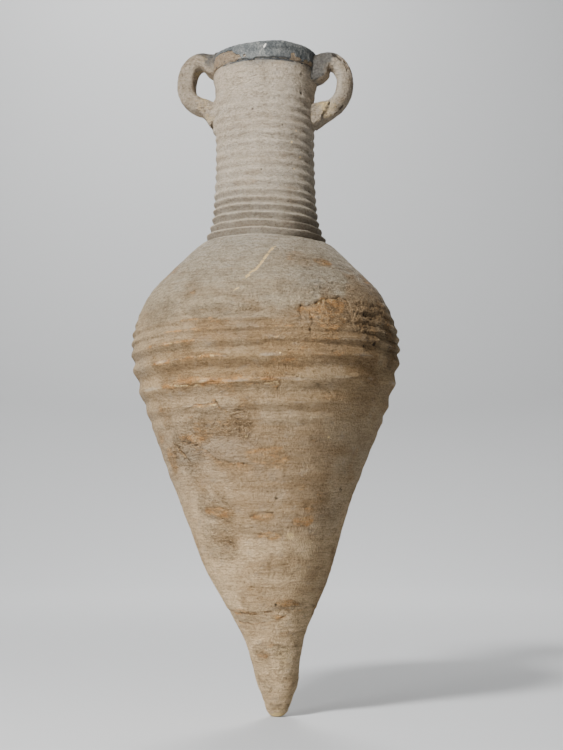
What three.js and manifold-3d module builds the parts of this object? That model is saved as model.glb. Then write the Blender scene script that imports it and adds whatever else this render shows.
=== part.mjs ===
// Footless amphora of thrown clay: a solid toe, a conical lower body, a broad upper body, a long
// ribbed neck, a collared rim and two strap handles, luted together, lined and lipped with pitch.
// Millimetres, +Z up. Heights below are measured from the worn end of the toe; the finished group
// is lowered so that its origin lies on the axis where a ring stand carries the cone.

import * as THREE from 'three';
import { mergeVertices } from 'three/addons/utils/BufferGeometryUtils.js';
import Module from 'manifold-3d';

const wasm = await Module();
wasm.setup();

// Fineness of the solids: sides round the vessel, steps up the toe and over each arc of the body,
// sides and steps of a handle, sides of a lump, and the length below which an edge is dropped
const facets = 36;
const toeSteps = 12;
const coneArcSteps = 2;
const shoulderArcSteps = 5;
const lumpSides = 12;
const sliver = 0.01;
const handleSides = 12;
const handleSteps = 18;

// Gap between pieces that touch
const clearance = 0.3;

// Body outline: a cone, an arc up to the widest point, an arc over the shoulder, a shoulder cone
const bellyRadius = 129.4;
const bellyHeight = 346;
const bellyArc = 105;
const coneAngle = THREE.MathUtils.degToRad(21);
const shoulderArc = 92;
const shoulderAngle = THREE.MathUtils.degToRad(46);
const bodyWall = 9;

// Where the ring stand carries the cone
const seatHeight = 165;

// Toe: a solid spike with a flat worn end, and a socket that takes the body's plug
const toeSeamHeight = 96;
const toeEndRadius = 5;
const toeTipRadius = 11;
const toeTipHeight = 7.5;
const toeBulbRadius = 19;
const toeBulbHeight = 31;
const toeWaistRadius = 23.2;
const toeWaistHeight = 54;
const toeFlareRadius = 29.6;
const toeFlareHeight = 76;
const toeLip = 3.8;
const toeLean = 11.5;
const leanFootHeight = 20;
const leanTopHeight = 210;

// Plug at the closed end of the lower body, and the floor inside it
const plugDepth = 30;
const plugEndRadius = 18;
const plugRounding = 3;
const floorThickness = 14;
const floorRadius = 9;
const floorSpringHeight = 114;

// Lap between the lower and the upper body
const bodySeamHeight = 319;
const tongueHeight = 12;
const tongueInset = 3.6;

// Neck: foot on the shoulder, spigot down into it, waist, head under the rim, and the bore
const neckFootRadius = 57;
const neckWaistRadius = 47.7;
const neckHeadRadius = 49.5;
const neckLength = 168;
const neckWaistRise = 75;
const neckFlare = 22;
const spigotRadius = 50.5;
const spigotDepth = 13;
const boreFootRadius = 46;
const boreRadius = 40;
const boreHeadRadius = 41;
const boreTaperRise = 44;

// Rim: a collar that sits over the reduced top of the neck
const rimRadius = 49.9;
const rimHeight = 15.4;
const rimSeatRadius = 45.5;
const rimSeatHeight = 8;
const lipWidth = 6;
const lipRounding = 1.7;

// Pitch: a skin inside the vessel and a coat over the rim, with bare patches, a drip and a lump
const liningThickness = 1;
const coatThickness = 0.9;
const coatLegHeight = 9;
const barePatches = [
  { angle: -138, below: 14, size: [6, 25, 10] },
  { angle: -40.5, below: 13, size: [6, 10, 7] },
];
const drip = { angle: -96, below: 15, size: [2.4, 6, 6] };
const lump = { angle: -61.5, below: 2, size: [4, 7, 4.5] };

// Throwing ridges: one climbing coil on the belly and one on the neck
const bellyRidgesBelow = 64;
const bellyRidgesAbove = 20;
const bellyPitchFoot = 20.6;
const bellyPitchTop = 7;
const bellyRidgeDepth = 2.6;
const bellyRidgeShape = [[0, 1], [0.3, 0.3], [0.6, 0]];
const neckCoilDrop = 1;
const neckRidgesEndBelowRim = 20;
const neckPitchFoot = 7.7;
const neckPitchTop = 10;
const neckRidgeDepthFoot = 2.4;
const neckRidgeDepthHead = 0.5;
const neckRidgeFade = 45;
const neckRidgeShape = [[0, 1], [0.45, 0]];

// Handles: reach of the strap's middle from the neck's wall, and its drop from crest to foot
const handleReach = 29.5;
const handleDrop = 46.5;
const handleThickness = 19;
const handleWidth = 26;
const handleWeb = 10;
const handleSquareness = 2.6;
const handles = [
  { name: 'handle_left', turn: Math.PI, crestBelowLip: 3 },
  { name: 'handle_right', turn: 0, crestBelowLip: 9 },
];

// Heights that follow from the sizes above
const neckFootHeight = shoulderHeight(neckFootRadius);
const neckHeadHeight = neckFootHeight + neckLength;
const rimFootHeight = neckHeadHeight + clearance;
const rimTopHeight = rimFootHeight + rimHeight;
const tongueTopHeight = bodySeamHeight + tongueHeight;
const tongueRadius = bodyRadius(bodySeamHeight) - tongueInset;
const spigotEndHeight = neckFootHeight - spigotDepth;

// Fired clay and pitch
const clay = new THREE.MeshStandardMaterial({ color: 0x9b9382, roughness: 0.93, metalness: 0 });
const toeClay = new THREE.MeshStandardMaterial({ color: 0xb8a68c, roughness: 0.93, metalness: 0 });
const neckClay = new THREE.MeshStandardMaterial({ color: 0xa49b8b, roughness: 0.93, metalness: 0 });
const handleClay = new THREE.MeshStandardMaterial({ color: 0xaaa190, roughness: 0.93, metalness: 0 });
const pitch = new THREE.MeshStandardMaterial({ color: 0x5c605f, roughness: 0.8, metalness: 0 });
const liningPitch = new THREE.MeshStandardMaterial({ color: 0x2f2b28, roughness: 0.6, metalness: 0 });

const at = (radius, height) => new THREE.Vector2(radius, height);

// Radius of the body's outer face without its ridges, or of a face set in from it by inset.
// Both arcs meet upright at the widest point and run on as straight cones.
function bodyRadius(height, inset = 0) {
  const rise = height - bellyHeight;
  const arc = rise < 0 ? bellyArc : shoulderArc;
  const angle = rise < 0 ? coneAngle : shoulderAngle;
  const radius = arc - inset;
  const reach = radius * Math.sin(angle);
  if (Math.abs(rise) <= reach) return bellyRadius - arc + Math.sqrt(radius ** 2 - rise ** 2);
  return bellyRadius - arc + radius * Math.cos(angle) - (Math.abs(rise) - reach) * Math.tan(angle);
}

// Height on the shoulder cone, or on the face set in from it, where it has a given radius
function shoulderHeight(radius, inset = 0) {
  const arc = shoulderArc - inset;
  const arcRadius = bellyRadius - shoulderArc + arc * Math.cos(shoulderAngle);
  return bellyHeight + arc * Math.sin(shoulderAngle) + (arcRadius - radius) / Math.tan(shoulderAngle);
}

// Heights that divide an arc of the body into equal angles, from one angle off level to another
function arcHeights(arc, fromAngle, toAngle, parts) {
  const heights = [];
  for (let part = 0; part <= parts; part += 1) {
    const angle = fromAngle + ((toAngle - fromAngle) * part) / parts;
    heights.push(bellyHeight + arc * Math.sin(angle));
  }
  return heights;
}

// Crest radius of the neck: it flares out to its foot and opens a little towards its head
function neckRadius(height) {
  const rise = height - neckFootHeight;
  const flare = (neckFootRadius - neckWaistRadius) * Math.exp(-rise / neckFlare);
  const opening = Math.max(0, (rise - neckWaistRise) / (neckLength - neckWaistRise));
  return neckWaistRadius + flare + (neckHeadRadius - neckWaistRadius) * opening;
}

// An outline moved sideways by a distance, to the left of its direction, with mitred corners
function offsetOutline(points, distance) {
  const normals = [];
  for (let index = 1; index < points.length; index += 1) {
    const along = points[index].clone().sub(points[index - 1]).normalize();
    normals.push(at(-along.y, along.x));
  }
  return points.map((point, index) => {
    const before = normals[Math.max(0, index - 1)];
    const after = normals[Math.min(normals.length - 1, index)];
    const mitre = before.clone().add(after).divideScalar(1 + before.dot(after));
    return point.clone().addScaledVector(mitre, distance);
  });
}

// A geometry with only positions, its equal vertices joined and its empty triangles dropped
function welded(geometry) {
  const bare = new THREE.BufferGeometry();
  bare.setAttribute('position', geometry.attributes.position.clone());
  bare.setIndex(geometry.index.clone());
  const merged = mergeVertices(bare);
  const corners = merged.index.array;
  const kept = [];
  for (let corner = 0; corner < corners.length; corner += 3) {
    const [a, b, c] = corners.slice(corner, corner + 3);
    if (a !== b && b !== c && c !== a) kept.push(a, b, c);
  }
  merged.setIndex(kept);
  return merged;
}

// A closed outline turned round the axis, its facets in line with those of the thrown walls
function revolved(outline) {
  const closed = outline[0].x === 0 ? outline : [...outline, outline[0]];
  return welded(new THREE.LatheGeometry(closed, facets, Math.PI / 2).rotateX(Math.PI / 2));
}

// A wall from rows of points round the axis. A row gives radius and height at each step round,
// the last row joins the first, and rows that run into one another share their points there.
function thrownWall(rows) {
  const width = facets + 1;
  const positions = [];
  const indices = [];
  rows.forEach((row, index) => {
    const base = index * width;
    const next = ((index + 1) % rows.length) * width;
    for (let step = 0; step < width; step += 1) {
      const angle = (2 * Math.PI * (step % facets)) / facets;
      const { x: radius, y: height } = row(step);
      positions.push(radius * Math.cos(angle), radius * Math.sin(angle), height);
      if (step === facets) continue;
      indices.push(base + step, base + step + 1, next + step + 1);
      indices.push(base + step, next + step + 1, next + step);
    }
  });
  const geometry = new THREE.BufferGeometry();
  geometry.setAttribute('position', new THREE.Float32BufferAttribute(positions, 3));
  geometry.setIndex(indices);
  return welded(geometry);
}

// Level rows of a thrown wall, one for each point of an outline
function levelRows(outline) {
  return outline.map((point) => () => point);
}

// A coil that climbs the wall with a pitch that changes steadily from low to high
function coil(low, high, lowPitch, highPitch) {
  const growth = (highPitch ** 2 - lowPitch ** 2) / (4 * (high - low));
  return {
    heightAt: (turns) => low + lowPitch * turns + growth * turns ** 2,
    turnsAt: (height) => {
      const rise = height - low;
      return (2 * rise) / (lowPitch + Math.sqrt(lowPitch ** 2 + 4 * growth * rise));
    },
  };
}

// How far a ridge stands out, from 0 in the valley to 1 on the crest, at a count of turns
function swellAt(shape, turns) {
  const phase = turns - Math.floor(turns);
  const around = [...shape, [1, shape[0][1]]];
  const index = Math.max(1, around.findIndex(([end]) => end >= phase));
  const [start, from] = around[index - 1];
  const [end, to] = around[index];
  return from + ((to - from) * (phase - start)) / (end - start);
}

// A height kept between two others, and put level with one of them where it comes close
function between(height, low, high) {
  if (height < low + sliver) return low;
  if (height > high - sliver) return high;
  return height;
}

// Rows that follow a climbing coil of ridges between two heights, where they end level
function ridgeRows(climb, shape, low, high, radiusAt) {
  const rows = [];
  const firstTurn = Math.floor(climb.turnsAt(low)) - 1;
  const lastTurn = Math.ceil(climb.turnsAt(high));
  for (let turn = firstTurn; turn <= lastTurn; turn += 1) {
    for (const [phase] of shape) {
      rows.push((step) => {
        const round = step / facets;
        const height = between(climb.heightAt(turn + round + phase), low, high);
        const swell = swellAt(shape, climb.turnsAt(height) - round);
        return at(radiusAt(height, swell), height);
      });
    }
  }
  return rows;
}

const bellyCoilFoot = bellyHeight - bellyRidgesBelow;
const bellyCoilTop = bellyHeight + bellyRidgesAbove;
const bellyCoil = coil(bellyCoilFoot, bellyCoilTop, bellyPitchFoot, bellyPitchTop);

// The belly's ridges rise out of the smooth wall and sink back into it
function bellyRidgeRadius(height, swell) {
  const share = (height - bellyCoilFoot) / (bellyCoilTop - bellyCoilFoot);
  const depth = 4 * bellyRidgeDepth * share * (1 - share);
  return bodyRadius(height) + depth * (swell - 0.5);
}

const neckCoil = coil(neckFootHeight - neckCoilDrop, neckHeadHeight, neckPitchFoot, neckPitchTop);

// The neck's ridges are deepest at its foot
function neckRidgeRadius(height, swell) {
  const fade = Math.exp(-(height - neckFootHeight) / neckRidgeFade);
  const depth = neckRidgeDepthHead + (neckRidgeDepthFoot - neckRidgeDepthHead) * fade;
  return neckRadius(height) - depth * (1 - swell);
}

// Inside face of the body from the middle of the floor to the end of the neck's spigot
function bodyCavity() {
  const inner = (height) => at(bodyRadius(height, bodyWall), height);
  const floorHeight = toeSeamHeight - plugDepth + floorThickness;
  const lowArc = arcHeights(bellyArc - bodyWall, -coneAngle, 0, coneArcSteps);
  const highArc = arcHeights(shoulderArc - bodyWall, 0, shoulderAngle, shoulderArcSteps);
  const heights = [floorSpringHeight, ...lowArc, tongueTopHeight, ...highArc.slice(1), spigotEndHeight];
  heights.sort((a, b) => a - b);
  return [at(0, floorHeight), at(floorRadius, floorHeight), ...heights.map(inner)];
}

// Inside face of the neck from the end of its spigot to its top
function neckBore() {
  return [
    at(boreFootRadius, spigotEndHeight),
    at(boreRadius, neckFootHeight + boreTaperRise),
    at(boreHeadRadius, neckHeadHeight + rimSeatHeight),
  ];
}

// Outside of the plug from the middle of its end up to the ledge over the toe
function plugOutline() {
  const end = toeSeamHeight - plugDepth;
  const ledge = toeSeamHeight + clearance;
  return [
    at(0, end),
    at(plugEndRadius - plugRounding, end),
    at(plugEndRadius, end + plugRounding),
    at(bodyRadius(toeSeamHeight) - toeLip, ledge),
  ];
}

// The rim's section from the foot of its outer face over the lip and down inside to its seat
function lipOutline() {
  const inner = rimRadius - lipWidth;
  return [
    at(rimRadius, rimFootHeight),
    at(rimRadius, rimTopHeight - lipRounding),
    at(rimRadius - lipRounding, rimTopHeight),
    at(inner, rimTopHeight),
    at(inner - lipRounding, rimTopHeight - lipRounding),
    at(boreHeadRadius, neckHeadHeight + rimSeatHeight + clearance),
  ];
}

function toeGeometry() {
  const side = new THREE.SplineCurve([
    at(toeEndRadius, 0),
    at(toeTipRadius, toeTipHeight),
    at(toeBulbRadius, toeBulbHeight),
    at(toeWaistRadius, toeWaistHeight),
    at(toeFlareRadius, toeFlareHeight),
    at(bodyRadius(toeSeamHeight), toeSeamHeight),
  ]);
  const socket = offsetOutline(plugOutline(), -clearance);
  const mouth = socket.pop();
  const wallFoot = socket[socket.length - 1];
  const share = (toeSeamHeight - wallFoot.y) / (mouth.y - wallFoot.y);
  const lip = wallFoot.clone().lerp(mouth, share);
  return revolved([at(0, 0), ...side.getPoints(toeSteps), lip, ...socket.reverse()]);
}

function lowerBodyGeometry() {
  const ledge = toeSeamHeight + clearance;
  const cavity = bodyCavity().filter((point) => point.y <= tongueTopHeight);
  return thrownWall([
    ...levelRows(plugOutline()),
    ...levelRows([at(bodyRadius(ledge), ledge)]),
    ...ridgeRows(bellyCoil, bellyRidgeShape, bellyCoilFoot, bodySeamHeight, bellyRidgeRadius),
    ...levelRows([at(tongueRadius, bodySeamHeight), at(tongueRadius, tongueTopHeight)]),
    ...levelRows(cavity.reverse()),
  ]);
}

function upperBodyGeometry() {
  const skirtFoot = bodySeamHeight + clearance;
  const lapTop = tongueTopHeight + clearance;
  const lapRadius = tongueRadius + clearance;
  const boreWall = spigotRadius + clearance;
  const mouth = neckFootHeight - clearance;
  const shoulderRows = arcHeights(shoulderArc, 0, shoulderAngle, shoulderArcSteps);
  const shoulder = shoulderRows.filter((height) => height > bellyCoilTop);
  const underside = bodyCavity().filter((point) => point.y > lapTop && point.y < spigotEndHeight);
  underside.push(at(boreWall, shoulderHeight(boreWall, bodyWall)));
  return thrownWall([
    ...levelRows([at(lapRadius, skirtFoot)]),
    ...ridgeRows(bellyCoil, bellyRidgeShape, skirtFoot, bellyCoilTop, bellyRidgeRadius),
    ...levelRows(shoulder.map((height) => at(bodyRadius(height), height))),
    ...levelRows([at(bodyRadius(mouth), mouth), at(boreWall, mouth)]),
    ...levelRows(underside.reverse()),
    ...levelRows([at(bodyRadius(lapTop, bodyWall), lapTop), at(lapRadius, lapTop)]),
  ]);
}

function neckGeometry() {
  const ridgesTop = neckHeadHeight - neckRidgesEndBelowRim;
  const top = neckHeadHeight + rimSeatHeight;
  return thrownWall([
    ...ridgeRows(neckCoil, neckRidgeShape, neckFootHeight, ridgesTop, neckRidgeRadius),
    ...levelRows([at(neckHeadRadius, neckHeadHeight), at(rimSeatRadius, neckHeadHeight)]),
    ...levelRows([at(rimSeatRadius, top)]),
    ...levelRows(neckBore().reverse()),
    ...levelRows([at(spigotRadius, spigotEndHeight), at(spigotRadius, neckFootHeight)]),
  ]);
}

function rimGeometry() {
  const seat = rimSeatRadius + clearance;
  const seatTop = neckHeadHeight + rimSeatHeight + clearance;
  return revolved([at(seat, rimFootHeight), ...lipOutline(), at(seat, seatTop)]);
}

// The skin follows the inside from the floor up the neck to just under the coat on the lip
function liningGeometry() {
  const top = rimTopHeight - coatLegHeight - clearance;
  const bore = neckBore();
  const head = bore.pop();
  const below = bore[bore.length - 1];
  const end = below.clone().lerp(head, (top - below.y) / (head.y - below.y));
  const wall = [...bodyCavity(), ...bore, end];
  const outside = offsetOutline(wall, clearance);
  const inside = offsetOutline(wall, clearance + liningThickness);
  return revolved([...outside, ...inside.reverse()]);
}

// The clay that the coat and the handles lie against, grown by the gap: neck and head of the jar
// up to an outline of the rim
function neckEnvelope(rimOutline) {
  const heights = [neckFootHeight, neckFootHeight + neckFlare, neckFootHeight + neckWaistRise];
  const neckSide = heights.map((height) => at(neckRadius(height), height));
  const side = [...neckSide, at(neckHeadRadius, neckHeadHeight), ...rimOutline];
  const grown = offsetOutline(side, -clearance);
  return solidOf(revolved([at(0, neckFootHeight), ...grown, at(0, grown[grown.length - 1].y)]));
}

// A lump for joining to the coat or cutting it, its size given outwards, round and upwards
function lipEllipsoid({ angle, below, size }) {
  const ball = new THREE.SphereGeometry(1, lumpSides, lumpSides / 2).rotateX(Math.PI / 2).scale(...size);
  ball.translate(rimRadius, 0, rimTopHeight - below);
  return solidOf(ball.rotateZ(THREE.MathUtils.degToRad(angle)));
}

// The coat is made too thick inwards and then cut back to the clay all at once
function coatGeometry() {
  const wall = [...lipOutline(), at(boreHeadRadius, rimTopHeight - coatLegHeight)];
  const outside = offsetOutline(wall, -clearance - coatThickness);
  const core = offsetOutline(wall, coatThickness);
  let coat = solidOf(revolved([...outside, ...core.reverse()]));
  for (const patch of barePatches) coat = coat.subtract(lipEllipsoid(patch));
  for (const thick of [drip, lump]) coat = coat.add(lipEllipsoid(thick));
  for (const handle of handles) coat = coat.subtract(solidOf(strapGeometry(handle, clearance)));
  const boreSide = at(boreHeadRadius, rimTopHeight - 2 * coatLegHeight);
  return geometryOf(coat.subtract(neckEnvelope([...lipOutline(), boreSide])));
}

// Stations along a handle from inside the rim, out, down and back into the neck: the middle of
// the strap, then its half thickness and half width. Distances out are shares of the reach.
function strapStations(crestBelowLip) {
  const half = handleThickness / 2;
  const crest = rimTopHeight - crestBelowLip;
  const rootFoot = crest - half - handleWeb;
  const rootTop = rimTopHeight - lipRounding;
  const root = (rootTop + rootFoot) / 2;
  const rootShare = (rootTop - rootFoot) / handleThickness;
  const down = (share) => crest - share * handleDrop;
  const stations = [
    [-0.22, root, rootShare, 1.15],
    [0.1, THREE.MathUtils.lerp(root, crest, 0.4), THREE.MathUtils.lerp(rootShare, 1, 0.3), 1.1],
    [0.42, crest, 1.08, 1],
    [0.76, down(0.07), 1, 1],
    [1, down(0.36), 0.96, 1],
    [0.98, down(0.62), 0.96, 1],
    [0.8, down(0.86), 0.96, 1],
    [0.5, down(0.98), 0.92, 1.02],
    [0.14, down(1.06), 1, 1.12],
    [-0.22, down(1.16), 1.2, 1.2],
  ];
  const middles = stations.map(([out, height]) => {
    return new THREE.Vector3(neckHeadRadius + out * handleReach, 0, height);
  });
  const sections = stations.map(([, , thickness, width]) => {
    return new THREE.Vector3(thickness * half, (width * handleWidth) / 2, 0);
  });
  return { path: new THREE.CatmullRomCurve3(middles), section: new THREE.CatmullRomCurve3(sections) };
}

// Corners of the strap's rounded section at a share of its length
function strapSection({ path, section }, share, grow) {
  const middle = path.getPoint(share);
  const along = path.getTangent(share);
  const across = new THREE.Vector3(-along.z, 0, along.x);
  const half = section.getPoint(share);
  const corners = [];
  for (let side = 0; side < handleSides; side += 1) {
    const angle = (2 * Math.PI * side) / handleSides;
    const corner = middle.clone().addScaledVector(across, (half.x + grow) * rounded(Math.cos(angle)));
    corner.y = (half.y + grow) * rounded(Math.sin(angle));
    corners.push(corner);
  }
  return corners;
}

// A handle as one closed strap, grown all round where it is to cut its seat
function strapGeometry({ turn, crestBelowLip }, grow) {
  const stations = strapStations(crestBelowLip);
  const corners = [];
  const indices = [];
  const index = (step, side) => step * handleSides + (side % handleSides);
  for (let step = 0; step <= handleSteps; step += 1) {
    corners.push(...strapSection(stations, step / handleSteps, grow));
    if (step === handleSteps) break;
    for (let side = 0; side < handleSides; side += 1) {
      indices.push(index(step, side), index(step + 1, side), index(step + 1, side + 1));
      indices.push(index(step, side), index(step + 1, side + 1), index(step, side + 1));
    }
  }
  for (let side = 2; side < handleSides; side += 1) {
    indices.push(index(0, 0), index(0, side - 1), index(0, side));
    indices.push(index(handleSteps, 0), index(handleSteps, side), index(handleSteps, side - 1));
  }
  const geometry = new THREE.BufferGeometry().setFromPoints(corners);
  geometry.setIndex(indices);
  return geometry.rotateZ(turn);
}

// One coordinate of a point on a rounded square
function rounded(value) {
  return Math.sign(value) * Math.abs(value) ** (2 / handleSquareness);
}

// The strap trimmed to the neck below and to the upright side of the rim above
function handleGeometry(handle) {
  const rimSide = [at(rimRadius, rimFootHeight), at(rimRadius, rimTopHeight + handleThickness)];
  return geometryOf(solidOf(strapGeometry(handle, 0)).subtract(neckEnvelope(rimSide)));
}

function solidOf(geometry) {
  const merged = welded(geometry);
  const mesh = new wasm.Mesh({
    numProp: 3,
    vertProperties: new Float32Array(merged.attributes.position.array),
    triVerts: new Uint32Array(merged.index.array),
  });
  return new wasm.Manifold(mesh);
}

// A solid's surface without the slivers that a cut leaves
function geometryOf(solid) {
  const mesh = solid.simplify(sliver).getMesh();
  const geometry = new THREE.BufferGeometry();
  geometry.setAttribute('position', new THREE.Float32BufferAttribute(mesh.vertProperties, 3));
  geometry.setIndex([...mesh.triVerts]);
  return geometry;
}

// The toe and the foot of the cone lean to one side, all pieces there by the same curve
function leaned(geometry) {
  const points = geometry.attributes.position;
  for (let index = 0; index < points.count; index += 1) {
    const upright = THREE.MathUtils.smoothstep(points.getZ(index), leanFootHeight, leanTopHeight);
    points.setX(index, points.getX(index) + toeLean * (1 - upright));
  }
  return geometry;
}

const amphora = new THREE.Group();
amphora.position.z = -seatHeight;

function addPiece(name, geometry, material) {
  geometry.computeVertexNormals();
  const mesh = new THREE.Mesh(geometry, material);
  mesh.name = name;
  amphora.add(mesh);
}

addPiece('toe', leaned(toeGeometry()), toeClay);
addPiece('lower_body', leaned(lowerBodyGeometry()), clay);
addPiece('upper_body', upperBodyGeometry(), clay);
addPiece('neck', neckGeometry(), neckClay);
addPiece('rim', rimGeometry(), neckClay);
for (const handle of handles) addPiece(handle.name, handleGeometry(handle), handleClay);
addPiece('pitch_lining', leaned(liningGeometry()), liningPitch);
addPiece('lip_pitch', coatGeometry(), pitch);

export default amphora;
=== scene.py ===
import math
import bpy
import numpy as np
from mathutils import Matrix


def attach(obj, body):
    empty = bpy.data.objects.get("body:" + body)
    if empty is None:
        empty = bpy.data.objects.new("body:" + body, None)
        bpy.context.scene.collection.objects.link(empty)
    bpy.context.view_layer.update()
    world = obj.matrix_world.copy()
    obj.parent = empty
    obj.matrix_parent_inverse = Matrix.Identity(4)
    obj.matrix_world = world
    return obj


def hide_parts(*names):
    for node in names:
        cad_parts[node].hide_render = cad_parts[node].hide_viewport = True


# Footless amphora. Shapes are worked out in millimetres: heights from the worn end of the toe,
# angles in degrees round the axis, from +X and seen from above. addSurface turns them into the
# frame's metres. The side that the photo shows is at -81 degrees.

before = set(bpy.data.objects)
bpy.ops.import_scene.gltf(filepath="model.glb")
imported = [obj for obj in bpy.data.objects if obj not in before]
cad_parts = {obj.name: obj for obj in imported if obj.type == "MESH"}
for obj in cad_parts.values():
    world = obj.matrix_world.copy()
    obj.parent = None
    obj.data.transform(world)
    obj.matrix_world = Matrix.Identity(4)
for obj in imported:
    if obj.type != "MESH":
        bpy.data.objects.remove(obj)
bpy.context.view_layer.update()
print("frame loaded")

jar = {
    "seatHeight": 165,  # the frame's origin
    "frontAngle": -81,
    # height, radius of the wall without its ridges
    "profile": [(80, 34), (96, 40.2), (103.5, 43.7), (118.8, 51), (134, 57.6), (149.4, 63.3),
                (180, 73.6), (203, 82.3), (234, 94.2), (265, 106.6), (280, 112.4), (296, 118.2),
                (311, 122.9), (326, 126.6), (342, 128.8), (352, 128.9), (366, 126.7), (378, 123.1),
                (390, 117.9), (400, 112.2), (408, 105.8), (416, 98), (428, 86), (440, 73.8),
                (452, 60.6), (456, 56.4), (460, 53)],
    # height, how far the axis leans to +X
    "lean": [(0, 11.5), (35, 11.5), (50, 10.2), (77, 8.2), (96, 6.3), (126, 4.6), (153, 2.7),
             (175, 1.3), (302, 0.7), (342, 0.5), (460, -0.4), (640, -0.5)],
}


# Number work

def ease(value, low, high):
    # 0 below low, 1 above high, and 3t^2 - 2t^3 between them
    share = np.clip((value - low) / (high - low), 0, 1)
    return share * share * (3 - 2 * share)


def between(value, start, full, fading, end):
    # 0 up to start and from end on, 1 from full to fading
    return ease(value, start, full) * (1 - ease(value, fading, end))


def throughStations(stations, at):
    # a cubic from each station to the next, its slope at a station worked out from both neighbours
    x, y = np.array(stations, float).T
    slope = np.gradient(y, x)
    at = np.clip(at, x[0], x[-1])
    part = np.clip(np.searchsorted(x, at, side="right") - 1, 0, len(x) - 2)
    width = x[part + 1] - x[part]
    t = (at - x[part]) / width
    start = y[part] * (1 + 2 * t) * (1 - t) ** 2 + slope[part] * width * t * (1 - t) ** 2
    end = y[part + 1] * t ** 2 * (3 - 2 * t) + slope[part + 1] * width * t ** 2 * (t - 1)
    return start + end


def cornerValue(cell, seed):
    # a repeatable number from -1 to 1 for each whole-number corner of space
    x, y, z = np.moveaxis(cell, -1, 0)
    mixed = x * 73856093 ^ y * 19349663 ^ z * 83492791 ^ (seed + 1) * 40503
    mixed = (mixed ^ (mixed >> 13)) * 1274126177 & 0x7FFFFFFF
    mixed = (mixed ^ (mixed >> 15)) * 668265263 & 0x7FFFFFFF
    return ((mixed >> 8) & 0xFFFF) / 32767.5 - 1


def softNoise(points, size, seed):
    # corner values of a lattice blended along x, y and z by 6t^5 - 15t^4 + 10t^3
    place = points / size
    cell = np.floor(place).astype(np.int64)
    part = place - cell
    part = part ** 3 * (part * (part * 6 - 15) + 10)
    total = np.zeros(points.shape[:-1])
    for corner in np.ndindex(2, 2, 2):
        share = np.where(corner, part, 1 - part)
        total += share[..., 0] * share[..., 1] * share[..., 2] * cornerValue(cell + corner, seed)
    return total


def layeredNoise(points, size, seed, layers=3):
    # each layer is half as large and half as strong as the one before
    total = 0
    for layer in range(layers):
        finer = 2 ** layer
        total = total + softNoise(points, np.asarray(size) / finer, seed + 17 * layer) / finer
    return total


def steps(value, edge):
    # a smooth field turned into terraces with steep edges, as clay flakes off in layers
    floor = np.floor(value)
    return floor + ease(value - floor, 1 - edge, 1)


def fade(value, width):
    # a bell round 0
    return np.exp(-(value / width) ** 2)


# Places on the jar

def roundAngles(count, pull=0.3):
    # steps round the axis, closer together at the front: phi - pull * sin(phi) about the front
    turn = 360 * np.arange(count) / count
    return jar["frontAngle"] + turn - np.degrees(pull * np.sin(np.radians(turn)))


def onRing(angle, height, radius):
    # radius and angle round the leaning axis
    turn = np.radians(angle)
    across = throughStations(jar["lean"], height) + radius * np.cos(turn)
    return np.stack(np.broadcast_arrays(across, radius * np.sin(turn), height), -1)


def wallFrame(angle, height, profile):
    # place, outward direction, radius and slant of a wall that has this profile
    radius = throughStations(profile, height)
    slope = throughStations(profile, height + 0.5) - throughStations(profile, height - 0.5)
    slant = np.sqrt(1 + slope ** 2)
    turn = np.radians(angle)
    outward = np.broadcast_arrays(np.cos(turn) / slant, np.sin(turn) / slant, -slope / slant)
    return onRing(angle, height, radius), np.stack(outward, -1), radius, slant


def apart(angle, other):
    # from the other angle to this one, -180 to 180
    return (angle - other + 180) % 360 - 180


def arc(radius, angle, other):
    return radius * np.radians(apart(angle, other))


def patchField(wall, patches, wobble):
    # soft-edged ovals at (angle, height, half width, half height, strength), edges moved by wobble;
    # wall is an angle, height, radius and slant
    angle, height, radius, slant = wall
    total = np.zeros(np.broadcast(angle, height).shape)
    for middle, level, across, up, strength in patches:
        sideways = arc(radius, angle, middle) / across
        upwards = (height - level) * slant / up
        within = ease(1 + wobble - np.hypot(sideways, upwards), -0.1, 0.35)
        total = np.maximum(total, strength * within)
    return total


def spotAway(wall, spot, level):
    # distance along the wall from a spot at (angle, height)
    angle, height, radius, slant = wall
    return np.hypot(arc(radius, angle, spot), (height - level) * slant)


def lineField(points, outward, line, profile, reach):
    # distance to a line drawn on the wall through (angle, height) places, less than 0 under the line
    distance = np.full(points.shape[:-1], 1e3)
    drawn = np.array([wallFrame(np.float64(a), np.float64(h), profile)[0] for a, h in line])
    low, high = drawn.min(0) - reach, drawn.max(0) + reach
    near = np.all((points > low) & (points < high), axis=-1)
    if not near.any():
        return distance
    place, normal = points[near], outward[near]
    best = np.full(len(place), 1e3)
    for start, end in zip(drawn[:-1], drawn[1:]):
        along = end - start
        share = np.clip((place - start) @ along / (along @ along), 0, 1)
        away = place - start - share[:, None] * along
        length = np.linalg.norm(away, axis=1)
        side = np.sign(np.einsum("ij,ij->i", np.cross(normal, along), away))
        best = np.where(length < np.abs(best), length * np.where(side == 0, 1, side), best)
    distance[near] = best
    return distance


# Meshes and objects

def addObject(name, data, at=(0, 0, 0), turn=(0, 0, 0)):
    made = bpy.data.objects.new(name, data)
    made.location, made.rotation_euler = at, turn
    bpy.context.scene.collection.objects.link(made)
    return made


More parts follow.
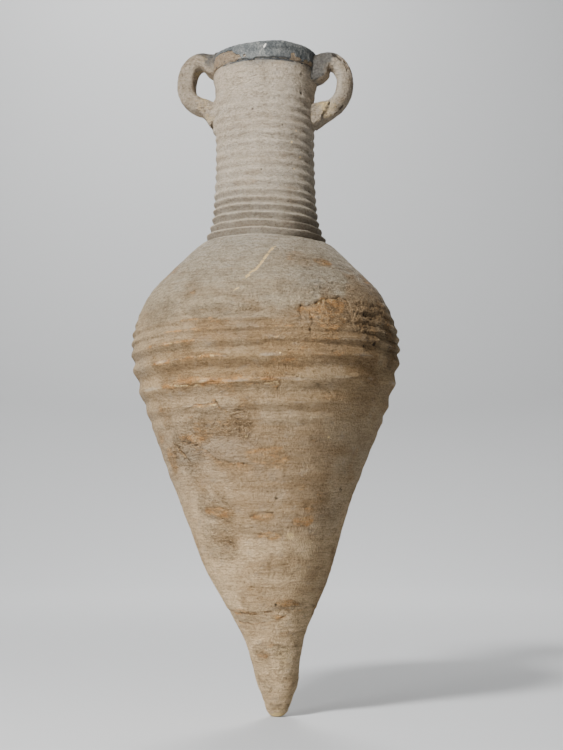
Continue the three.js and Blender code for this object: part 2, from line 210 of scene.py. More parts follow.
def addSurface(name, grid, slot, nodes, material, masks=None, loop=False, poles=(False, False),
               crease=50):
    # grid is rows of points round the axis; a pole closes an end, loop joins the last row to the first
    rows, columns = grid.shape[:2]
    points = grid.reshape(-1, 3)
    row, column = np.meshgrid(np.arange(rows if loop else rows - 1), np.arange(columns), indexing="ij")
    above, beside = (row + 1) % rows, (column + 1) % columns
    quads = np.stack([row * columns + column, row * columns + beside, above * columns + beside,
                      above * columns + column], -1).reshape(-1, 4)
    fans = []
    for end, ring in ((0, 0), (1, rows - 1)):
        if poles[end]:
            here = np.arange(columns)
            middle = np.full(columns, len(points))
            points = np.vstack([points, grid[ring].mean(0)])
            edge = [ring * columns + (here + 1) % columns, ring * columns + here]
            fans.append(np.stack([*(edge if end == 0 else edge[::-1]), middle], -1))
    triangles = np.concatenate(fans) if fans else np.zeros((0, 3), int)
    mesh = bpy.data.meshes.new(name)
    scaled = (points - [0, 0, jar["seatHeight"]]) / 1000
    mesh.vertices.add(len(points))
    mesh.vertices.foreach_set("co", scaled.ravel())
    corners = np.concatenate([quads.ravel(), triangles.ravel()])
    counts = np.concatenate([np.full(len(quads), 4), np.full(len(triangles), 3)])
    mesh.loops.add(len(corners))
    mesh.loops.foreach_set("vertex_index", corners)
    mesh.polygons.add(len(counts))
    mesh.polygons.foreach_set("loop_start", np.cumsum(counts) - counts)
    mesh.polygons.foreach_set("loop_total", counts)
    mesh.update(calc_edges=True)
    mesh.polygons.foreach_set("use_smooth", np.ones(len(counts), bool))
    mesh.set_sharp_from_angle(angle=math.radians(crease))
    for mask, values in (masks or {}).items():
        padded = np.zeros(len(points))
        padded[:rows * columns] = np.broadcast_to(values, (rows, columns)).ravel()
        mesh.attributes.new(mask, "FLOAT", "POINT").data.foreach_set("value", padded)
    mesh.materials.append(material)
    made = addObject(name, mesh)
    if nodes:
        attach(made, "root")
        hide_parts(*nodes)
    print(name, len(quads) * 2 + len(triangles), "triangles")
    return made


# Materials

def linear(red, green, blue):
    # screen colour, 0 to 255, as light
    return [*(c / 255 / 12.92 if c < 11 else ((c / 255 + 0.055) / 1.055) ** 2.4
              for c in (red, green, blue)), 1]


def addNode(tree, kind, inputs=None, **settings):
    made = tree.nodes.new("ShaderNode" + kind)
    for key, value in settings.items():
        setattr(made, key, value)
    for key, value in (inputs or {}).items():
        if isinstance(value, bpy.types.NodeSocket):
            tree.links.new(value, made.inputs[key])
        else:
            made.inputs[key].default_value = value
    return made


def attribute(tree, name):
    return addNode(tree, "Attribute", attribute_name=name).outputs["Fac"]


def blendColour(tree, share, first, second, way="MIX"):
    made = addNode(tree, "Mix", {0: share, 6: first, 7: second}, data_type="RGBA", blend_type=way)
    return made.outputs[2]


def calculate(tree, way, first, second=0.5, third=0.5):
    return addNode(tree, "Math", {0: first, 1: second, 2: third}, operation=way).outputs[0]


def times(tree, first, second):
    return calculate(tree, "MULTIPLY", first, second)


def timesPlus(tree, first, second, third):
    return calculate(tree, "MULTIPLY_ADD", first, second, third)


def pickRange(tree, value, low, high, bottom=0.0, top=1.0):
    return addNode(tree, "MapRange", {0: value, 1: low, 2: high, 3: bottom, 4: top}).outputs[0]


def tinted(tree, colour, tint, value, low, high, most):
    # blended towards a screen colour, by up to most, as the value goes from low to high
    return blendColour(tree, pickRange(tree, value, low, high, 0, most), colour, linear(*tint))


def noiseAt(tree, place, scale, detail=4.0, rough=0.55, stretch=(1, 1, 1)):
    # scale is the number of waves in a metre
    moved = addNode(tree, "Mapping", {"Vector": place, "Scale": stretch}).outputs[0]
    return addNode(tree, "TexNoise", {"Vector": moved, "Scale": scale, "Detail": detail,
                                      "Roughness": rough}).outputs[0]


def colourRamp(tree, value, stops):
    made = addNode(tree, "ValToRGB", {0: value})
    ramp = made.color_ramp
    while len(ramp.elements) < len(stops):
        ramp.elements.new(0.5)
    for element, (position, colour) in zip(ramp.elements, stops):
        element.position = position
        element.color = linear(*colour)
    return made.outputs[0]


def startMaterial(name):
    material = bpy.data.materials.new(name)
    material.use_nodes = True
    tree = material.node_tree
    return material, tree, addNode(tree, "TexCoord").outputs["Object"]


def finishMaterial(tree, colour, relief, strength, distance, roughness, shine):
    # strength and distance belong to the bump that the relief makes
    shader = tree.nodes["Principled BSDF"]
    bump = addNode(tree, "Bump", {"Strength": strength, "Distance": distance, "Height": relief})
    tree.links.new(colour, shader.inputs["Base Color"])
    tree.links.new(bump.outputs[0], shader.inputs["Normal"])
    shader.inputs["Roughness"].default_value = roughness
    shader.inputs["Specular IOR Level"].default_value = shine


clayLook = {
    # share of the height from the toe to the rim, screen colour
    "tones": [(0, (244, 216, 174)), (0.13, (238, 209, 167)), (0.25, (226, 197, 156)),
              (0.38, (196, 173, 141)), (0.5, (200, 171, 130)), (0.6, (202, 184, 155)),
              (0.7, (208, 196, 176)), (0.86, (222, 207, 186)), (1, (230, 214, 192))],
    "span": (-0.135, 0.505),  # metres: the toe and the rim, each raised by the mean of the wavering
    # waves in a metre, detail, roughness, stretch
    "noises": {"broad": (13, 3, 0.5, (1, 1, 1.8)), "bands": (11, 5, 0.6, (1, 1, 9)),
               "mottle": (85, 5, 0.62, (1, 1, 1.4)), "fine": (430, 4, 0.65),
               "dashes": (330, 5, 0.7, (1, 1, 1.7)), "crumbs": (610, 3, 0.75),
               "lines": (55, 5, 0.65, (1, 1, 11)), "streaks": (75, 5, 0.7, (1, 1, 2.8)),
               "scales": (150, 4, 0.6, (1, 1, 2))},
    # noise, darkening colours
    "shades": {"mottle": [(0.3, (222, 219, 214)), (0.6, (255, 255, 255))],
               "dashes": [(0.34, (158, 150, 140)), (0.47, (228, 225, 220)),
                          (0.62, (255, 255, 255))],
               "lines": [(0.38, (180, 175, 168)), (0.52, (255, 255, 255))]},
    "warm": (168, 134, 92),
    "cool": (172, 168, 158),
    "ochre": [(0.36, (156, 106, 60)), (0.5, (200, 148, 90)), (0.64, (228, 190, 136))],
    "cream": (244, 214, 154),
    # painted highlight on the ridges' crests and on a strip along the handles, with some wear on the
    # body's crests
    "worn": (232, 220, 200),
    "fleck": (228, 200, 158),
    # dirt in pits, cracks and on bare clay, and painted shade in hollows, under the ridges, under the
    # collar and along a handle's break
    "dirtAndShade": (62, 50, 39),
    "soot": [(0.38, (72, 74, 74)), (0.5, (104, 106, 105)), (0.62, (140, 139, 134))],
    "bump": (1.0, 0.0027),  # strength, distance
    "terraces": ((0.47, 0.53), (0.59, 0.63)),  # where the bump steps up on the noise called scales
    "roughness": 0.9,
    "shine": 0.18,
}


def clayMaterial(name, stain=1.0, grit=0.68, streaky=0.45):
    # colour by height, then warm bands, mottling, stains, marks and pits, painted shade and painted
    # highlight; the bump is crumbs and scales
    look = clayLook
    material, tree, place = startMaterial(name)
    height = addNode(tree, "SeparateXYZ", {0: place}).outputs["Z"]
    mask = {key: attribute(tree, key)
            for key in ("ochre", "warm", "cream", "dark", "hollow", "soot", "rough")}
    noise = {key: noiseAt(tree, place, *settings) for key, settings in look["noises"].items()}
    broad, mottle, fine, dashes = (noise[key] for key in ("broad", "mottle", "fine", "dashes"))
    crumbs, scales = noise["crumbs"], noise["scales"]
    rugged = timesPlus(tree, mask["rough"], 0.8, grit)
    wavering = timesPlus(tree, broad, 0.06, height)
    colour = colourRamp(tree, pickRange(tree, wavering, *look["span"]), look["tones"])
    warmth = timesPlus(tree, mask["ochre"], 0.5, times(tree, noise["bands"], 0.9))
    warmth = timesPlus(tree, mask["warm"], 0.55, warmth)
    colour = tinted(tree, colour, look["warm"], warmth, 0.42, 0.95, 0.7 * stain)
    colour = tinted(tree, colour, look["cool"], broad, 0.55, 0.75, 0.25)
    # darkened by three noises in turn
    shares = {"mottle": 0.9, "dashes": pickRange(tree, rugged, 0, 1, 0.45, 0.75), "lines": streaky}
    for key, stops in look["shades"].items():
        colour = blendColour(tree, shares[key], colour, colourRamp(tree, noise[key], stops), "MULTIPLY")
    # ochre where its mask is, broken up along the streaks
    broken = timesPlus(tree, noise["streaks"], 3.4, timesPlus(tree, dashes, 1.8, -2.75))
    stained = timesPlus(tree, mask["ochre"], 1.1 * stain, broken)
    rust = colourRamp(tree, timesPlus(tree, mottle, 0.7, times(tree, fine, 0.3)), look["ochre"])
    colour = blendColour(tree, pickRange(tree, stained, 0.4, 1.05, 0, 0.78), colour, rust)
    # pits, the edges of scales and pale flecks; then painted shade in the hollows and under crests
    # (dirt on the rim's bare clay), and painted highlight on crests and on the handles' strip
    edges = calculate(tree, "ABSOLUTE", calculate(tree, "SUBTRACT", scales, 0.5))
    edges = times(tree, pickRange(tree, edges, 0, 0.011, 1, 0), mask["rough"])
    pits = times(tree, pickRange(tree, crumbs, 0.42, 0.3, 0, 0.45), rugged)
    colour = blendColour(tree, timesPlus(tree, edges, 0.45, pits), colour, linear(*look["dirtAndShade"]))
    flecks = times(tree, pickRange(tree, crumbs, 0.56, 0.7, 0, 0.34), rugged)
    colour = blendColour(tree, flecks, colour, linear(*look["fleck"]))
    # painted shade where the hollow mask is above 0, painted highlight where it is below 0
    colour = tinted(tree, colour, look["dirtAndShade"], mask["hollow"], 0.05, 1, 0.5)
    colour = tinted(tree, colour, look["worn"], mask["hollow"], -0.05, -0.9, 0.6)
    # soot from the pitch; cream scratches, and on the handles painted light; dark cracks and marks,
    # with painted shade under the collar and along a handle's break
    sooty = timesPlus(tree, mottle, 1.6, calculate(tree, "SUBTRACT", mask["soot"], 0.8))
    soot = colourRamp(tree, timesPlus(tree, fine, 0.6, times(tree, mottle, 0.4)), look["soot"])
    colour = blendColour(tree, pickRange(tree, sooty, 0.1, 1, 0, 0.85), colour, soot)
    creamy = timesPlus(tree, fine, 0.7, calculate(tree, "SUBTRACT", mask["cream"], 0.35))
    colour = tinted(tree, colour, look["cream"], creamy, 0.25, 0.7, 0.95)
    colour = tinted(tree, colour, look["dirtAndShade"], mask["dark"], 0.15, 1, 0.9)
    terrace = calculate(tree, "ADD", *(pickRange(tree, scales, *edge) for edge in look["terraces"]))
    terrace = times(tree, terrace, timesPlus(tree, mask["rough"], 0.9, 0.1))
    relief = times(tree, crumbs, timesPlus(tree, rugged, 3.4, 0.1))
    relief = timesPlus(tree, fine, 0.9, relief)
    relief = timesPlus(tree, dashes, 1.2, relief)
    relief = timesPlus(tree, terrace, 1.0, relief)
    finishMaterial(tree, colour, relief, *look["bump"], look["roughness"], look["shine"])
    return material


pitchLook = {
    "coat": [(0.36, (44, 46, 46)), (0.47, (72, 75, 75)), (0.57, (106, 107, 104)),
             (0.68, (162, 158, 149))],
    "lining": [(0.2, (20, 16, 14)), (0.5, (38, 32, 28)), (0.8, (64, 55, 47))],
    "fleck": (222, 218, 208),
    "edge": (40, 38, 36),
    "bump": (0.7, 0.0009),  # strength, distance
    "shine": 0.3,
}


def pitchMaterial(name, tones, roughness, grainSize):
    look = pitchLook
    material, tree, place = startMaterial(name)
    cloud = noiseAt(tree, place, 75, 6, 0.7)
    grain = noiseAt(tree, place, grainSize, 4, 0.7)
    colour = colourRamp(tree, timesPlus(tree, grain, 0.5, times(tree, cloud, 0.5)), tones)
    colour = tinted(tree, colour, look["fleck"], attribute(tree, "cream"), 0.3, 0.7, 1)
    colour = tinted(tree, colour, look["edge"], attribute(tree, "dark"), 0.1, 1, 0.8)
    relief = timesPlus(tree, grain, 0.6, cloud)
    finishMaterial(tree, colour, relief, *look["bump"], roughness, look["shine"])
    return material


bodyClay = clayMaterial("bodyClay")
neckClay = clayMaterial("neckClay", 0.7, 0.5, 0.2)
handleClay = clayMaterial("handleClay", 0.7, 0.9, 0.1)
coatPitch = pitchMaterial("coatPitch", pitchLook["coat"], 0.72, 520)
liningPitch = pitchMaterial("liningPitch", pitchLook["lining"], 0.55, 240)
print("materials made")


# Ridges: one coil climbs the belly and one the neck, with a hollow from a finger between turns

ridges = {
    # crests: heights at the front, one for each turn; hand: 1 where the coil climbs to the right
    "belly": {"hand": 1, "depth": 3.4,
              "crests": [243, 258.5, 273.3, 288.1, 308.7, 329.5, 344.1, 353.9, 363, 372, 381, 390],
              # height, strength of the ridges
              "strength": [(262, 0), (273, 0.3), (288, 0.55), (306, 0.95), (329, 1.05), (344, 0.85),
                           (354, 0.6), (363, 0.45), (376, 0.12), (386, 0)],
              # the ridges are lower here: angle, half width, share that is lost
              "flat": (-40, 30, 0.5),
              # heights where the fainter bands start, are full, fade and end
              "bandsAbove": (356, 366, 386, 412), "bandsBelow": (120, 180, 256, 282)},
    "neck": {"hand": -1, "depth": 4.2, "valley": 0.3,
             "crests": [449.5, 457.7, 465.7, 473.7, 481.8, 489.1, 497, 506.3, 516.4, 525.3, 534.3,
                        544.3, 553.4, 562.3, 571.1, 579.9, 591.2, 602, 613, 624]},
    "girth": 129.8,  # no crest stands out further than this
    "runOut": -191,  # the neck's lowest turn starts at this angle, on the shoulder
}


def coilPhase(coil, angle, height):
    # turns of the coil below a place, less its share of a turn: whole numbers lie on the crest
    turns = throughStations([(crest, turn) for turn, crest in enumerate(coil["crests"])], height)
    return turns - coil["hand"] * (angle - jar["frontAngle"]) / 360


def coilSwell(phase, valley, sharp, blunt):
    # 1 on the crest and 0 in the hollow: a power of the distance to the hollow's middle, with the top
    # of the crest blunted; and 1 where the wall faces down, between the hollow and the crest above it
    part = phase - np.floor(phase)
    away = np.where(part < valley, (valley - part) / valley, (part - valley) / (1 - valley)) ** sharp
    whole = np.sqrt(1 + blunt ** 2) - blunt
    swell = 1 - (np.sqrt((1 - away) ** 2 + blunt ** 2) - blunt) / whole
    under = between(part, valley - 0.06, valley + 0.12, 0.86, 0.98)
    return swell, under


# Body

wear = {
    # patches: angle, height, half width, half height, strength
    "ochre": [(-55.5, 367.6, 22, 13, 0.9), (-47.8, 377.1, 12, 7, 0.95),
              (-28.9, 362.2, 30, 24, 0.36), (-16.9, 374.1, 16, 18, 0.5), (-45.5, 420.1, 9, 6, 0.75),
              (-94.8, 359.1, 50, 4, 0.5), (-110, 351.8, 26, 3.5, 0.5), (-84, 336.1, 40, 5, 0.62),
              (-73.9, 322.2, 14, 7, 0.95), (-110.3, 326.9, 22, 4, 0.55), (-107.4, 307.9, 30, 6, 1),
              (-86.1, 311.3, 24, 5, 0.8), (-98.3, 299.7, 12, 8, 0.9), (-110.5, 286.3, 19, 5, 0.8),
              (-120.7, 257.2, 16, 8, 0.75), (-108.5, 264.6, 22, 14, 0.5),
              (-77.9, 242.4, 20, 9, 0.55), (-84, 185.7, 15, 9, 0.95), (-114.5, 191.2, 18, 6, 0.75),
              (-51.5, 183.2, 13, 5, 0.85), (-80.1, 170.1, 19, 5, 0.85), (-57.7, 107, 15, 6, 0.85),
              (-74, 95.3, 8, 4, 0.8), (-130.2, 98.9, 14, 5, 0.6), (-61.9, 337.4, 40, 10, 0.5),
              (-49.5, 294.3, 26, 6, 0.35), (-32.1, 245.9, 22, 6, 0.3), (30, 372, 34, 16, 0.8),
              (62, 320, 45, 7, 0.7), (95, 386, 26, 10, 0.7), (128, 290, 38, 9, 0.75),
              (150, 352, 40, 6, 0.6), (178, 322, 26, 6, 0.6), (45, 230, 24, 10, 0.5),
              (105, 215, 22, 12, 0.7), (160, 160, 20, 8, 0.6), (80, 120, 18, 6, 0.6),
              (5, 140, 12, 8, 0.5), (100, 425, 18, 8, 0.5)],
    "rough": [(-28.9, 363.2, 36, 27, 1), (-11.4, 336.9, 22, 14, 0.7), (-108.5, 270.5, 38, 17, 0.9),
              (-126.8, 245.7, 20, 26, 0.9), (-118.5, 196.2, 26, 16, 0.8),
              (-125.6, 167.1, 24, 24, 0.9), (-85, 175.9, 32, 10, 0.6), (-57.7, 105.1, 20, 7, 1),
              (-115.3, 95.6, 34, 6, 0.7), (-47.3, 420, 24, 14, 0.2), (-99.6, 369.4, 44, 8, 0.45),
              (-70, 146.7, 24, 14, 0.4), (-132, 372, 34, 20, 0.6), (-60, 392, 40, 18, 0.35),
              (36, 378, 44, 22, 0.9), (100, 300, 50, 26, 0.7), (150, 240, 40, 30, 0.8),
              (60, 190, 34, 26, 0.7), (120, 130, 30, 20, 0.8), (170, 400, 36, 16, 0.6)],
    "warm": [(-60.1, 345.4, 90, 42, 0.75), (-100.3, 315.6, 60, 20, 0.7),
             (-31.3, 380.1, 50, 40, 0.7), (-74.9, 234.6, 90, 60, 0.55), (-85, 185.7, 60, 30, 0.6),
             (-59.9, 127.3, 60, 40, 0.5), (-44.4, 294.6, 70, 30, 0.4), (-80, 345, 60, 26, 1),
             (60, 330, 100, 40, 0.6), (140, 380, 90, 36, 0.5), (110, 220, 80, 60, 0.5),
             (170, 290, 60, 50, 0.5)],
    "crestStain": [(-112, 333, 62, 44, 1.25), (-70, 350, 30, 20, 0.9), (-118, 296, 40, 16, 1),
                   (120, 340, 60, 30, 0.8)],
    # line, depth of the crack, its half width, drop of the flake scar below the line, its reach
    "cracks": [
        ([(-65.7, 374.8), (-63.5, 374.6), (-60.8, 376.3), (-56.9, 380.6), (-49.3, 382.9),
          (-46.3, 385.8), (-43.8, 384.3), (-42.2, 380.4), (-42, 374.7)], 1.4, 0.9, 1.1, 16),
        ([(-66.7, 359.8), (-66.2, 363.6), (-66.7, 370), (-65.7, 374.8)], 0.7, 0.8, 0.5, 9),
        ([(-62.2, 366.8), (-61.1, 358.5), (-62.7, 354.4), (-62.3, 349.4), (-63.6, 346.6),
          (-67.1, 344.6)], 1, 0.8, 0, 8),
        ([(-123.8, 306.5), (-114.3, 305.3), (-107.2, 305.9), (-99.7, 307.5)], 0.7, 0.8, 0.7, 7),
        ([(-88.1, 305.2), (-84, 304.3), (-80.6, 306.6), (-75.5, 306.9), (-74.3, 303.5),
          (-75.9, 298.3)], 1, 0.8, 0.5, 8),
        ([(-73.2, 313.8), (-69.8, 311.4), (-64.7, 309.1), (-57.5, 303.5), (-52.4, 297.8),
          (-50.5, 294.5)], 0.7, 0.7, 0, 8),
        ([(-103.5, 291.3), (-102.1, 285.1), (-98.4, 281.5)], 0.9, 0.8, 0.4, 7),
        ([(-120.6, 283.9), (-113.1, 287.6), (-109, 286.5), (-102.8, 288.6)], 0.5, 0.7, 0.8, 8),
        ([(-127.8, 255.2), (-124.1, 253), (-117.5, 250.8), (-114.2, 247.1), (-111.2, 241.6),
          (-105.6, 237.3), (-99.8, 236), (-90.5, 233.2)], 1.3, 0.9, 1, 14),
        ([(-134.7, 251), (-129.6, 244.3), (-126.5, 237)], 1, 0.8, 0.5, 8),
        ([(-146.8, 142), (-145.6, 136.5), (-144.5, 132)], 2.2, 1.2, 0, 8),
        ([(-165, 99.3), (-149.9, 100), (-124.9, 98.1), (-102.6, 98.7), (-83.9, 99.8), (-66, 102.6),
          (-37.5, 102.8), (-20.5, 105), (-5.9, 102.7)], 1, 1.1, 0.7, 7),
        ([(-139.6, 90.1), (-118.3, 88.9), (-91.7, 89.3), (-74, 92.2), (-63, 96.8)], 0.8, 1, 0.5, 6),
        ([(20, 391), (28, 393), (36, 390), (44, 384), (46, 376)], 1.2, 0.9, 0.9, 13),
        ([(84, 312), (93, 309), (104, 311), (112, 307)], 1.1, 0.9, 0.8, 12),
        ([(132, 262), (140, 256), (149, 254), (155, 248)], 1.2, 0.9, 0.9, 12),
        ([(-2.2, 102.9), (40, 100), (75, 102), (110, 98), (150, 101), (178, 99), (195, 99.5)],
         1, 1.1, 0.6, 7),
    ],
    # line, width
    "scratches": [
        ([(-74.3, 435.2), (-78.9, 426.6), (-81.8, 419.2), (-84.6, 410), (-87.8, 405.9)], 2.1),
        ([(-88.4, 402.9), (-91, 398.8)], 2.6),
        ([(-91.9, 391), (-94.5, 387.5)], 1.2),
        ([(-121.6, 304.5), (-112.5, 303.6)], 0.9),
        ([(-114.6, 286.3), (-109, 284.7), (-103.4, 286.8)], 1),
        ([(-90.7, 258.8), (-84.6, 258.9)], 1),
    ],
    # angle, height, size
    "whiteSpots": [(-74.9, 330.6, 0.9), (-47.3, 258.6, 1.1), (-115.6, 87.4, 1.6), (-62.8, 169.6, 4),
                   (-80.9, 55.6, 1.2), (118, 333, 1.4), (60, 270, 1.5)],
    "darkSpots": [(-89, 257.7, 1.3), (-73.6, 203.5, 1.4), (-11.2, 390.3, 2.6), (-34.8, 370.7, 1.5),
                  (-36.2, 340.7, 1.6), (-29.8, 343.9, 2.2), (-8, 384, 2.2), (-20.7, 355.9, 1.4),
                  (-26.6, 212.7, 1.4), (-24.6, 211.1, 1.3), (-75, 105.9, 1.4), (78, 352, 1.8),
                  (140, 330, 2)],
    # a dark smudge along this line
    "smudge": [(-91.1, 187.5), (-85.4, 190.5), (-76.1, 191)],
    # angle, height, half width, half height, how far it stands out
    "bulge": (-178, 141, 30, 22, 1.3),
}


def neckFoot(angle):
    # height of the lowest whole turn of the neck's coil, over the place where shoulder and neck meet
    around = (angle - ridges["runOut"]) % 360
    turn = 1 - (around + ridges["runOut"] - jar["frontAngle"]) / 360 + ease(around, 320, 360)
    return throughStations(list(enumerate(ridges["neck"]["crests"])), turn)


def bodyWall(angle, height):
    # the wall's places and masks, from its profile, ridges, throwing lines, flakes, cracks and pits
    place, outward, radius, slant = wallFrame(angle, height, jar["profile"])
    wall = angle, height, radius, slant
    wander = layeredNoise(place, 9, 11, 2)
    drift = layeredNoise(place, 26, 12, 3)
    coil = ridges["belly"]
    middle, across, lost = coil["flat"]
    strength = throughStations(coil["strength"], height) * (1 + 0.3 * softNoise(place, 45, 21))
    strength = strength * (1 - lost * fade(apart(angle, middle), across))
    phase = coilPhase(coil, angle, height) + 0.07 * softNoise(place, 40, 22)
    upper = ease(phase, 4.4, 5.4)  # the upper turns are keener and hollow right under their crests
    swell, under = coilSwell(phase, 0.45 + 0.2 * upper, 1.35, 0.3 - 0.15 * upper)
    relief = coil["depth"] * strength * (swell - 0.5)
    # faint bands above and below the coil
    above, below = (between(height, *coil[bands]) for bands in ("bandsAbove", "bandsBelow"))
    relief += 0.5 * above * (1 + softNoise(place, 50, 23)) * (swell - 0.5)
    relief += 0.5 * below * softNoise(place, [240, 240, 9], 24)
    # out of round, throwing lines, fine unevenness
    relief += 0.8 * softNoise(place, 95, 31) + 0.35 * softNoise(place, 34, 32)
    lines = softNoise(place, [130, 130, 3.4], 33) + 0.6 * softNoise(place, [60, 60, 1.7], 34)
    relief += 0.16 * lines
    relief += 0.14 * layeredNoise(place, [7, 7, 3.5], 35, 2)
    # flaking: terraces where the surface has come off in layers
    patch = patchField(wall, wear["rough"], 0.35 * drift)
    rough = np.clip(patch + 0.28 * ease(drift, 0.15, 0.9) + 0.2 * ease(height, 350, 380), 0, 1.2)
    layers = layeredNoise(place + wander[..., None] * 1.5, [13, 13, 4.5], 41, 3)
    relief -= 0.75 * rough * (steps(1.6 * layers + 1.5, 0.35) / 1.6 - 0.4)
    crumble = layeredNoise(place, [3.2, 3.2, 1.9], 42, 2)
    relief += 0.5 * rough * crumble
    chips = ease(softNoise(place, [4.6, 4.6, 1.7], 43) + 0.25 * drift, 0.5, 0.85)
    relief -= 0.4 * chips * (0.35 + rough)
    ochre = patchField(wall, wear["ochre"], 0.4 * drift + 0.2 * wander)
    ochre = np.maximum(ochre, 0.5 * ease(drift, 0.35, 1.1))
    ridged = np.clip(1.2 * strength, 0, 1)
    ochre *= 1 - ridged * (0.6 - 0.75 * swell ** 3)
    warm = patchField(wall, wear["warm"], 0.5 * drift)
    dark = 0.6 * chips * (0.25 + 0.5 * rough) + 0.16 * rough * ease(-crumble, 0.3, 0.9)
    # the hollow mask: painted shade in the hollows and on the ridges' undersides; below 0, painted
    # highlight on the crests, patchy where worn is high
    worn = ease(layeredNoise(place, [24, 24, 8], 25, 3), -0.1, 0.7)
    hollow = 0.3 * (1 - swell) ** 1.5 + 0.4 * under - 0.5 * worn * swell ** 8
    hollow = np.clip(strength, 0, 1) * hollow
    crestStain = patchField(wall, wear["crestStain"], 0.3 * drift)
    ochre = np.maximum(ochre, 1.1 * crestStain * swell ** 5 * ease(wander, -0.5, 0.5))
    cream = 0.5 * crestStain * swell ** 9 * ease(crumble, 0.1, 0.5) * ease(wander, -0.2, 0.5)
    jagged = place + np.stack([wander, -wander, 0.8 * layeredNoise(place, 6, 51, 2)], -1) * 1.1
    for line, depth, width, drop, reach in wear["cracks"]:
        away = lineField(jagged, outward, line, jar["profile"], reach * 3)
        groove = fade(away, width)
        relief -= depth * groove
        beneath = away < 0
        relief -= drop * beneath * fade(away, reach) * (1 - np.exp(away / 0.5 * beneath))
        dark += 0.95 * groove * (0.75 + 0.25 * crumble)
        ochre = np.maximum(ochre, 0.6 * beneath * (drop > 0) * fade(away, reach * 0.5))
        pale = 0.5 * (drop > 0) * beneath * fade(away + 1.8, 0.8) * ease(drift, -0.4, 0.4)
        cream = np.maximum(cream, pale)
    for line, width in wear["scratches"]:
        away = lineField(place + wander[..., None] * 0.7, outward, line, jar["profile"], 6)
        scrape = ease(width * 0.62 - np.abs(away), -0.5, 0.5) * ease(crumble, -0.8, 0.1)
        cream = np.maximum(cream, scrape)
        relief -= 0.35 * scrape
    for spot, level, size in wear["whiteSpots"]:
        away = spotAway(wall, spot, level)
        cream = np.maximum(cream, (0.95 if size < 2 else 0.45) * ease(size - away, -0.6, 0.5))
    for spot, level, size in wear["darkSpots"]:
        away = spotAway(wall, spot, level)
        pit = ease(size - away + 0.5 * wander, -0.6, 0.8)
        dark = np.maximum(dark, pit)
        relief -= 0.9 * pit
    smear = lineField(place, outward, wear["smudge"], jar["profile"], 8)
    dark += 0.75 * ease(0.9 + 0.5 * wander - np.abs(smear), -0.6, 0.6)
    bulge, level, across, up, proud = wear["bulge"]
    relief += proud * fade(arc(radius, angle, bulge), across) * fade(height - level, up)
    relief = np.minimum(relief, ridges["girth"] - radius)
    # the wall dips in under the foot of the neck
    relief -= np.clip(1.2 * (height - neckFoot(angle) + 9 + 0.3 * wander), 0, 5.6)
    masks = {"ochre": ochre, "warm": warm, "dark": np.clip(dark, 0, 1), "cream": cream,
             "hollow": hollow, "rough": rough}
    return place + outward * relief[..., None], masks


def hiddenRows(angle, places):
    # rings round the axis at (radius, height) places
    return np.stack([onRing(angle, np.float64(h), np.float64(r)) for r, h in places])


def thrownPiece(name, wall, angles, heights, slot, nodes, material, before=(), after=(), **ends):
    # outside rows from wall(), closed by hidden rows at (radius, height) below and above
    outside, masks = wall(angles[None, :], heights[:, None])
    below, above = (hiddenRows(angles, places) if places else outside[:0]
                    for places in (before, after))
    grid = np.concatenate([below, outside, above])
    padding = ((len(before), len(after)), (0, 0))
    masks = {key: np.pad(np.broadcast_to(value, outside.shape[:2]), padding)
             for key, value in masks.items()}
    return addSurface(name, grid, slot, nodes, material, masks, **ends)


inside = {
    # height, clear radius inside the lining
    "cavity": [(85, 11.1), (90, 15.7), (100, 24.3), (110, 32.8), (115, 37), (120, 38.9),
               (135, 44.6), (165, 56.1), (215, 75.3), (265, 94.6), (295, 106.2), (315, 113.2),
               (330, 117.3), (345, 118.7), (360, 117.7), (375, 113.1), (390, 105.5), (405, 93.6),
               (420, 78), (435, 62.6), (441, 56.5)],
    "bore": [(442.5, 44.4), (465, 42.1), (499, 38.7), (560, 39.1), (628, 39.6)],
    "skin": 1.2,  # from the lining's inside to the clay
    "lining": 0.9,  # thickness of the lining
}


def innerRows(heights):
    # the clay's inner wall, just outside the lining
    return [(float(throughStations(inside["cavity"], h)) + inside["skin"], float(h)) for h in heights]


fineRows = np.concatenate([np.linspace(96, 262, 96, endpoint=False), np.linspace(262, 319, 48)])
thrownPiece("lowerBody", bodyWall, roundAngles(620), fineRows, "body_clay", ["lower_body"], bodyClay,
            before=[(15, 66.4), (18, 69.4), (36.4, 96.2)],
            after=[(118, 318.7), *innerRows([310, 280, 240, 200, 160, 125, 112, 98, 88]), (9, 80.2)],
            poles=(True, True))
shoulderRows = np.concatenate([np.linspace(319, 448, 121, endpoint=False),
                               np.linspace(448, 459.5, 14)])
thrownPiece("upperBody", bodyWall, roundAngles(676), shoulderRows, "body_clay", ["upper_body"],
            bodyClay, after=[(50.6, 459.4), (50.6, 454.8), (50.8, 446),
                             *innerRows([438, 425, 405, 385, 360, 340, 325]), (119, 319.2)], loop=True)
print("body made")


# Toe

toe = {
    # height, radius of the spike
    "profile": [(0, 3.5), (1.2, 6.3), (4, 9.2), (8, 11.2), (13, 12.9), (19, 15), (27, 18.2),
                (35, 20.2), (43, 21.6), (55, 23.9), (66, 26.5), (74, 29), (81, 32), (88, 35.6),
                (96, 40.2), (104, 43.9)],
    "ochre": [(-94.9, 69.3, 10, 5, 0.45), (-109.6, 59.7, 8, 5, 0.5), (-60, 79, 12, 4, 0.4),
              (60, 60, 12, 8, 0.5)],
    "rough": [(-99.9, 65.4, 16, 12, 0.7), (-60, 40.1, 9, 8, 0.5), (-118.9, 30.6, 8, 8, 0.5),
              (90, 50, 16, 20, 0.6)],
    # dark edge of the broken tip: angle, height, half width, half height
    "chip": (-77.9, 10.6, 7, 2.2),
    "bodyFrom": 82,  # the body's wall is worked out down to this height
    "joined": (84, 96),  # the toe's wall turns into the body's between these heights
}


